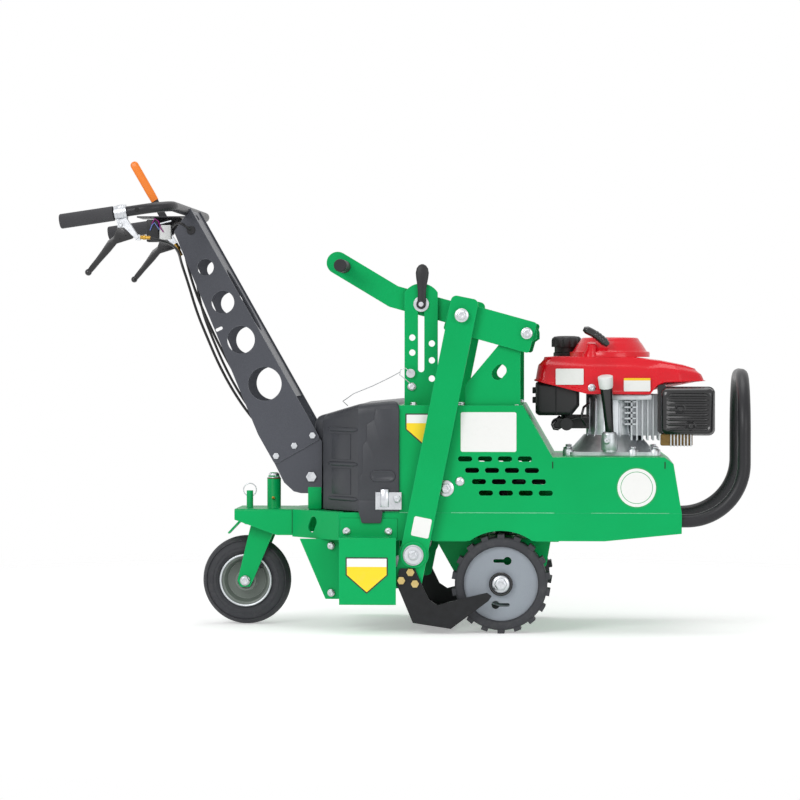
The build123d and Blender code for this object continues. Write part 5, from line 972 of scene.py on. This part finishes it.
# %% Speed lever sleeve, switch box and wires
sleeve_low, sleeve_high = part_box("lever_sleeve")
foot = Vector((sleeve_high.x - 0.0055, 0, sleeve_low.z + 0.0035))
head = Vector((sleeve_low.x + 0.0085, 0, sleeve_high.z - 0.0090))
sleeve_path = [foot.lerp(head, k / 14) for k in range(14)]
sleeve_path += [head + (head - foot).normalized() * 0.0085 * sin(k * pi / 12) for k in range(0, 7)]
sleeve_scale = [0.93 + 0.07 * min(1, k / 3) for k in range(14)] + [max(0.03, cos(k * pi / 12)) for k in range(0, 7)]
SLEEVE_SECTION = rounded([(-0.0062, -0.0092), (0.0062, -0.0092), (0.0062, 0.0092), (-0.0062, 0.0092)], 0.0045, 5)
sleeve = swept("speed_lever_sleeve", sleeve_path, SLEEVE_SECTION, scales=sleeve_scale)
wear(sleeve, "speed_lever", "orange_sleeve", smooth=60)
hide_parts("lever_sleeve")
box_outline = rounded([(-0.5985, 0.8620), (-0.5720, 0.8620), (-0.5720, 0.9120), (-0.5985, 0.9120)], 0.003)
switch_box = plate("stop_switch_box", box_outline, -0.0440, 0.026)
wear(switch_box, "chassis", "black_plastic", 0.0012)
block = plate("wire_block", rounded([(-0.5695, 0.8680), (-0.5440, 0.8680), (-0.5440, 0.9000), (-0.5695, 0.9000)], 0.002),
              -0.0400, 0.020)
wear(block, "chassis", "white_cap_plastic", 0.0008)
plate_tab = plate("bracket_tab", rounded([(-0.5700, 0.9010), (-0.5420, 0.9080), (-0.5420, 0.9110), (-0.5700, 0.9040)],
                                         0.001, 2), -0.0420, 0.030)
wear(plate_tab, "chassis", "zinc_plate")
for name, code, path in (
    ("violet_wire", "8E0A7A", [(-0.586, -0.046, 0.902), (-0.579, -0.047, 0.914), (-0.571, -0.046, 0.908),
                               (-0.566, -0.044, 0.892), (-0.560, -0.042, 0.884)]),
    ("blue_wire", "6C7FC0", [(-0.590, -0.046, 0.888), (-0.585, -0.048, 0.900), (-0.580, -0.047, 0.905),
                             (-0.575, -0.045, 0.898), (-0.570, -0.042, 0.890)]),
):
    moulded(name, code, code, 0.4)
    wear(swept(name, path, circle(0.0013, 10)), "chassis", name, smooth=60)
adjuster = turned("cable_adjuster", [(0.0050, 0), (0.0050, 0.008), (0.0062, 0.0085), (0.0062, 0.015), (0.0042, 0.0155),
                                     (0.0042, 0.030)], (-0.5350, -0.030, 0.8580), (0.46, 0, -0.89), 20)
wear(adjuster, "chassis", "brass")
grommet = turned("cable_grommet", [(0.0075, -0.003), (0.0095, -0.002), (0.0095, 0.002), (0.0075, 0.003)],
                 (-0.4915, -0.0865, 0.8860), (0.3, -1, 0), 24)
wear(grommet, "chassis", "grip_rubber")
throttle = swept("throttle_cable", [(-0.5450, -0.030, 0.8930), (-0.5300, -0.060, 0.9020), (-0.5120, -0.090, 0.9010),
                                    (-0.5000, -0.0980, 0.8930), (-0.4925, -0.0890, 0.8865)],
                 circle(0.0026, 14))
wear(throttle, "chassis", "cable_sheath", smooth=60)
plug = turned("bar_plug", [(0.0050, 0), (0.0046, 0.0010), (0.0020, 0.0014)], (-0.5755, -0.3288, 0.9205), NEAR, 20)
wear(plug, "chassis", "belt_rubber")
print("hand controls")

# %% [markdown]
# ## Transmission cover
# The belt cover is a textured plastic tub. Its tail is cut back on both sides, and on that
# slope run three raised ribs; the flat side has a long pressed oval and a step. The tub is
# its plan drawn in over the crown, with real ribs laid on.

# %% Cover
COVER_PLAN = with_stops(rounded([
    (-0.0180, -0.2060), (-0.0180, 0.2060), (-0.1080, 0.2060), (-0.1940, 0.1040), (-0.1960, 0.0740),
    (-0.2160, 0.0680), (-0.2160, -0.0680), (-0.1960, -0.0740), (-0.1940, -0.1040), (-0.1080, -0.2060),
], 0.0045, 4), 0.02)
COVER_TOP = [(-0.216, 0.4690), (-0.194, 0.4750), (-0.1080, 0.5000), (-0.018, 0.5090)]
cover_rings = []
for amount, drop in ((0.0, None), (0.0, 0.022), (0.0012, 0.013), (0.0040, 0.006), (0.0085, 0.0015), (0.0150, 0.0),
                     (0.0600, 0.0), (0.0860, 0.0)):
    ring_points = []
    for p in drawn_in(COVER_PLAN, amount):
        z = 0.266 if drop is None else along(p.x, COVER_TOP) - drop
        ring_points.append((p.x, p.y, z))
    cover_rings.append(ring_points)
cover = wear(skin("belt_cover_tub", cover_rings), "chassis", "cover_plastic", smooth=40)
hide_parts("transmission_cover")
for sign, side_name in ((-1, "right"), (1, "left")):
    lip = plate(f"{side_name}_cover_lip", rounded([(-0.1080, 0.2900), (-0.1080, 0.2680), (-0.1000, 0.2400), (-0.0580, 0.2400), (-0.0540, 0.2680),
                                                   (-0.0540, 0.2900)],
                                                  0.004), sign * 0.2060 - 0.0022, 0.0044)
    wear(lip, "chassis", "cover_plastic", 0.0006)
    raised = rounded([(-0.0790, 0.2790), (-0.0190, 0.2790), (-0.0190, 0.4930), (-0.0700, 0.4900), (-0.0740, 0.4660),
                      (-0.0900, 0.4560), (-0.0900, 0.4200), (-0.0990, 0.4100), (-0.0990, 0.3500), (-0.1060, 0.3400),
                      (-0.1060, 0.2790)], 0.003, 3)
    step = plate(f"{side_name}_cover_step", raised, sign * 0.2060 - 0.0016, 0.0032)
    wear(step, "chassis", "cover_plastic", 0.0013, 50)
    pill_rings = []
    pill = rounded([(-0.0820, 0.3300), (-0.0260, 0.3300), (-0.0260, 0.3560), (-0.0820, 0.3560)], 0.0125, 8)
    for amount, stand in ((0.0, 0.0), (0.0010, 0.0028), (0.0030, 0.0034), (0.0050, 0.0024), (0.0066, 0.0014)):
        pill_rings.append([(p[0], sign * (0.2072 + stand), p[1]) for p in drawn_in(pill, amount)])
    wear(skin(f"{side_name}_cover_oval", pill_rings), "chassis", "cover_plastic", smooth=50)
    for count, z in enumerate((0.4440, 0.3680, 0.2915)):
        inner, outer = Vector((-0.1880, sign * 0.1110, z)), Vector((-0.1105, sign * 0.2030, z))
        away = Vector((-0.7645, sign * 0.6446, 0)) * 0.0004
        path = [inner.lerp(outer, share) + away for share in (0.10, 0.14, 0.22, 0.5, 0.86, 0.95, 1)]
        bar = swept(f"{side_name}_cover_rib_{count}", path, [(x * 0.0038, y * 0.0048) for x, y in circle(1, 16)],
                    scales=[0.35, 0.8, 1, 1, 1, 0.8, 0.35])
        wear(bar, "chassis", "cover_plastic", smooth=60)
    for count, (low, high) in enumerate(((0.3010, 0.3580), (0.3780, 0.4340))):
        field = []
        for share, z in rounded([(0.20, low), (0.80, low), (0.80, high), (0.20, high)], 0.006, 3):
            at = Vector((-0.1880, sign * 0.1110, z)).lerp(Vector((-0.1105, sign * 0.2030, z)), min(max(share, 0.2), 0.8))
            field.append(at)
        out = Vector((-0.7645, sign * 0.6446, 0))
        field_rings = [[p + out * lift for p in field] for lift in (-0.0005, 0.0012)]
        wear(skin(f"{side_name}_cover_field_{count}", field_rings), "chassis", "cover_plastic", 0.0007)
print("belt cover")

# %% [markdown]
# ## Pivots, nuts and the depth clamp
# Every pivot ends in a washer and a nut that rides on the moving part. The clamp handle is a
# teardrop of hard plastic, swept from its hub to its tip with a section that swells.

# %% Pivot nuts
for side_name, sign in (("right", -1), ("left", 1)):
    out = (0, sign, 0)
    hex_bolt(f"{side_name}_arm_pivot_nut", (0.1193, sign * 0.2335, 0.6940), out, 0.0095, "arm_hanger", 1.6)
    hex_bolt(f"{side_name}_rocker_pivot_nut", (0.2600, sign * 0.2110, 0.6550), out, 0.0085, "depth_rocker", 1.5)
    ring_profile = [(0.0215, 0), (0.0225, 0.002), (0.0225, 0.007), (0.0205, 0.0085), (0.0185, 0.0060)]
    cup = turned(f"{side_name}_pitman_cup", ring_profile, (0.01415, sign * 0.2320, 0.1725), out, 40, hoop=True)
    wear(cup, "blade_arms", "zinc_plate")
    hex_bolt(f"{side_name}_pitman_nut", (0.01415, sign * 0.2370, 0.1725), out, 0.0092, "blade_arms", 1.3)
    cap_profile = [(0.0250, 0), (0.0260, 0.0015), (0.0245, 0.0030), (0.0215, 0.0032), (0.0200, 0.0016)]
    hub_ring = turned(f"{side_name}_hub_ring", cap_profile, (0.2040, sign * 0.2042, 0.1080), out, 44, hoop=True)
    wear(hub_ring, "drive_axle", "gloss_black_enamel")
    hex_bolt(f"{side_name}_hub_nut", (0.2040, sign * 0.2055, 0.1080), out, 0.0125, "drive_axle", 1.5)
    disc = turned(f"{side_name}_pitman_washer", [(0.0226, 0), (0.0226, 0.0004), (0.0218, 0.0007)],
                  (0.01415, sign * 0.2379, 0.1725), out, 40)
    wear(disc, "blade_arms", "zinc_plate")
print("pivot nuts")

# %% Cover clips
for side_name, sign in (("right", -1), ("left", 1)):
    roll = swept(f"{side_name}_cover_clip_roll", [(-0.0500, sign * 0.2098, z) for z in (0.2760, 0.2765, 0.3140, 0.3145)],
                 [(x * 0.0095, y * 0.0042) for x, y in circle(1, 24)], scales=[0.9, 1, 1, 0.9])
    wear(roll, "chassis", "zinc_plate", smooth=50)
    hex_bolt(f"{side_name}_cover_clip_screw", (-0.0225, sign * 0.2100, 0.2930), (0, sign, 0), 0.0062)
print("cover clips")

# %% Top edge screws
for side_name, sign in (("right", -1), ("left", 1)):
    for count, x in enumerate((0.0120, 0.1180, 0.2380)):
        hex_bolt(f"{side_name}_top_screw_{count}", (x, sign * 0.1850, 0.4980), (0, 0, 1), 0.0062)
print("top edge screws")

# %% Clamp handle
teardrop_path = [Vector((0.0288, -0.1745, z)) for z in (0.7140, 0.7200, 0.7300, 0.7460, 0.7620, 0.7760, 0.7880, 0.7980,
                                                        0.8040, 0.8070)]
for count, point in enumerate(teardrop_path):
    point.x += 0.0025 * count / 9
teardrop = swept("clamp_handle", teardrop_path, [(x * 0.0050, y * 0.0145) for x, y in circle(1, 32)],
                 scales=[0.30, 0.62, 0.64, 0.62, 0.74, 0.92, 1.0, 0.86, 0.55, 0.16])
wear(teardrop, "clamp_lever", "black_plastic", smooth=60)
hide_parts("clamp_lever")
hub = turned("clamp_handle_hub", [(0.0105, 0), (0.0105, 0.0030), (0.0088, 0.0052), (0.0055, 0.0054), (0.0050, 0.0036)],
             (0.0278, -0.1730, 0.7190), NEAR, 24)
wear(hub, "clamp_lever", "black_plastic")
print("clamp handle")

# %% Quadrant screw and its lanyard wire
hex_bolt("quadrant_screw", (0.0070, -0.1662, 0.5380), NEAR, 0.0070)
for count, path in enumerate((
    [(0.0045, -0.1750, 0.5700), (-0.0060, -0.1760, 0.5790), (-0.0170, -0.1760, 0.5760), (-0.0190, -0.1750, 0.5640),
     (-0.0080, -0.1740, 0.5560), (0.0040, -0.1730, 0.5450)],
    [(-0.0190, -0.1750, 0.5700), (-0.0420, -0.1600, 0.5580), (-0.0800, -0.1400, 0.5400), (-0.1250, -0.1200, 0.5220),
     (-0.1500, -0.1050, 0.5050), (-0.1400, -0.0950, 0.4950)],
)):
    wire = swept(f"stop_pin_wire_{count}", path, circle(0.0009, 8))
    wear(wire, ("stop_pin", "chassis")[count], "zinc_plate", smooth=60)
print("lanyard")

# %% [markdown]
# ## Caster
# The head tube carries a nut on its kingpin, with a little rust where the paint ends, and a
# grease nipple. The rim gets a rolled bead and a bearing hub, and the tyre its fine side
# rings: the real ones are what the eye reads as a wheel.

# %% Caster details
rust = bare_metal("rust_edge", "8A5A2E", "5A3416", 0.65, 300.0, metallic=0.3)
rim_ring = turned("head_tube_rust_ring", [(0.0150, 0.3283), (0.0158, 0.3285), (0.0158, 0.3298), (0.0150, 0.3300)],
                  (-0.3150, 0, 0), sides=36, hoop=True)
wear(rim_ring, "chassis", "rust_edge")
hex_bolt("kingpin_nut", (-0.3150, 0, 0.3300), (0, 0, 1), 0.0105, "caster_fork", 1.35)
nipple = turned("grease_nipple", [(0.0034, 0), (0.0034, 0.0025), (0.0022, 0.0030), (0.0022, 0.0055), (0.0028, 0.0065),
                                  (0.0014, 0.0085)], (-0.3150, -0.0154, 0.2850), NEAR, 20)
wear(nipple, "chassis", "brass")
for sign, side_name in ((-1, "right"), (1, "left")):
    out = (0, sign, 0)
    rim_lip = [(0.0575, 0), (0.0590, 0.0012), (0.0590, 0.0036), (0.0572, 0.0046), (0.0550, 0.0040), (0.0545, 0.0020)]
    ring_piece = turned(f"{side_name}_caster_rim_bead", rim_lip, (-0.3760, sign * 0.0300, 0.1000), out, 64, hoop=True)
    wear(ring_piece, "caster_wheel", "cast_aluminium")
    hex_bolt(f"{side_name}_caster_axle_nut", (-0.3760, sign * 0.0425, 0.1000), out, 0.0098, "caster_fork", 1.2)
    eye = turned(f"{side_name}_fork_eye", [(0.0120, -0.0020), (0.0132, -0.0012), (0.0132, 0.0012), (0.0120, 0.0020)],
                 (-0.3760, sign * 0.0400, 0.1000), out, 36)
    wear(eye, "caster_fork", "green_paint")
    hub_boss = [(0.0230, 0.0), (0.0238, 0.0015), (0.0226, 0.0034), (0.0190, 0.0040), (0.0180, 0.0022), (0.0180, 0.0)]
    boss = turned(f"{side_name}_caster_hub_boss", hub_boss, (-0.3760, sign * 0.0260, 0.1000), out, 48, hoop=True)
    wear(boss, "caster_wheel", "rim_paint")
    for count, radius in enumerate((0.0680, 0.0745, 0.0900)):
        lift = (0.0318, 0.0320, 0.0262)[count]
        ridge = [(radius - 0.0012, lift - 0.002), (radius - 0.0008, lift), (radius + 0.0008, lift),
                 (radius + 0.0012, lift - 0.002)]
        line = turned(f"{side_name}_tyre_line_{count}", ridge, (-0.3760, 0, 0.1000), out, 72, hoop=True)
        wear(line, "caster_wheel", "tyre_rubber", smooth=60)
valve = swept("tyre_valve", [(-0.3420, -0.026, 0.1300), (-0.3400, -0.033, 0.1320), (-0.3385, -0.038, 0.1335)],
              circle(0.0035, 14))
wear(valve, "caster_wheel", "grip_rubber", smooth=60)
print("caster details")

# %% [markdown]
# ## Seams and weld beads
# Where two sheets meet, the frame shows a fold line and short weld beads that catch the
# light. Each bead is a thin swept bar with a slightly uneven width. Along the skirt the bars
# are painted a light green: a painted highlight where the skirt's top edge catches the light.

# %% Seams
# A lighter copy of the green paint: painted highlight for the light on the skirt's fold edge.
highlight_green = painted("bright_green_paint", "35C886", "1FB873", "BFEFD8", 0.22, 0.05)


def bead(name, start, end, radius, finish="bright_green_paint"):
    """A weld bead or fold line from one point to another; its default light green is a painted highlight."""
    run = [Vector(start).lerp(Vector(end), k / 24) for k in range(25)]
    scales = [0.7 + 0.3 * sin(k * 2.4) ** 2 for k in range(25)]
    return wear(swept(name, run, circle(radius, 8), scales=scales), "chassis", finish, smooth=60)


for sign, side_name in ((-1, "right"), (1, "left")):
    y = sign * 0.2001
    bead(f"{side_name}_skirt_edge_highlight_front", (0.0950, y, 0.2635), (0.3200, y, 0.2635), 0.0014)
    bead(f"{side_name}_skirt_edge_highlight_rear", (-0.0180, y, 0.2635), (0.0080, y, 0.2635), 0.0014)
    bead(f"{side_name}_skirt_edge_highlight_nose", (0.4000, y, 0.2635), (0.5700, y, 0.2635), 0.0008)
    bead(f"{side_name}_tail_seam", (-0.1520, sign * 0.2003, 0.2080), (-0.1520, sign * 0.2003, 0.2600), 0.0010,
         "green_paint")
    # A dark strip in the gap between the caster arm and the tail: painted shade of the gap.
    gap_shade_strip = plate(f"{side_name}_arm_gap_shade", [(-0.2665, 0.2080), (-0.2655, 0.2080), (-0.2655, 0.2620), (-0.2665, 0.2620)],
                 sign * 0.0790 - 0.0002, 0.0004)
    wear(gap_shade_strip, "chassis", "belt_rubber")
    # Dark strips for the two slits in the side panel: painted shade of the openings.
    for count, x in enumerate((0.3166, 0.5604)):
        slit_shade = plate(f"{side_name}_panel_opening_shade_{count}", rounded([(x - 0.0012, 0.3605), (x + 0.0012, 0.3605),
                                                                 (x + 0.0012, 0.3755), (x - 0.0012, 0.3755)], 0.0008, 2),
                     sign * 0.2002 - 0.0002, 0.0004)
        wear(slit_shade, "chassis", "belt_rubber")
post = plate("handle_foot_post", rounded([(-0.2300, 0.2640), (-0.2000, 0.2640), (-0.2000, 0.3130), (-0.2300, 0.3130)],
                                         0.002, 2), -0.0830, 0.006)
wear(post, "chassis", "green_paint", 0.0008)
print("seams")

# %% [markdown]
# ## Floor and light
# A product photograph on white: a pale floor that catches a soft shadow under the wheels, a
# large soft light above and in front, a weaker one from the left, and a bright world. The
# floor and the world show white to the camera, while the lamps stay at a plain level.

# %% Floor
deselect_all()
bpy.ops.mesh.primitive_circle_add(vertices=96, radius=3.6, fill_type="NGON", location=(0, 0, 0))
floor = bpy.context.object
floor.name = "floor"
floor_finish = Finish("pale_floor", Roughness=0.9, Specular_IOR_Level=0.0, Emission_Strength=0.35)
distance = floor_finish.node("ShaderNodeVectorMath", {"operation": "LENGTH"}, {0: floor_finish.place}, "Value")
grain = floor_finish.noise(0.6) * 0.2
floor_finish.set("Base Color", floor_finish.mix(grain, shade("FDFDFD"), shade("FAFAFA")))
floor_finish.set("Emission Color", shade("FFFFFF"))
floor_finish.set("Alpha", floor_finish.ramp(distance * 0.3, (0.30, 1), (0.72, 0)))
floor.data.materials.append(floor_finish.material)

# %% Lights
world = bpy.data.worlds.new("studio")
bpy.context.scene.world = world
world.use_nodes = True
sky = world.node_tree.nodes["Background"]
paths = world.node_tree.nodes.new("ShaderNodeLightPath")
level = world.node_tree.nodes.new("ShaderNodeMapRange")
level.inputs["To Min"].default_value = 0.42
level.inputs["To Max"].default_value = 1.0
seen = world.node_tree.nodes.new("ShaderNodeMath")
seen.operation = "MAXIMUM"
world.node_tree.links.new(paths.outputs["Is Camera Ray"], seen.inputs[0])
world.node_tree.links.new(paths.outputs["Is Glossy Ray"], seen.inputs[1])
world.node_tree.links.new(seen.outputs["Value"], level.inputs["Value"])
world.node_tree.links.new(level.outputs["Result"], sky.inputs["Strength"])
sky.inputs["Color"].default_value = (1, 1, 1, 1)


def soft_light(name, place, target, size, power):
    """A large square lamp that looks at a point of the machine."""
    lamp = bpy.data.lights.new(name, "AREA")
    lamp.size = size
    lamp.energy = power
    holder = bpy.data.objects.new(name, lamp)
    bpy.context.scene.collection.objects.link(holder)
    holder.location = place
    aim = Vector(target) - Vector(place)
    holder.rotation_mode = "QUATERNION"
    holder.rotation_quaternion = aim.to_track_quat("-Z", "Y")


soft_light("key", (-1.9, -3.4, 2.4), (0, 0, 0.5), 1.8, 62)
soft_light("fill", (2.6, -3.6, 1.3), (0, 0, 0.5), 2.0, 31)
soft_light("top", (0.2, 0.3, 3.6), (0, 0, 0.4), 2.4, 38)
print("lights ready")
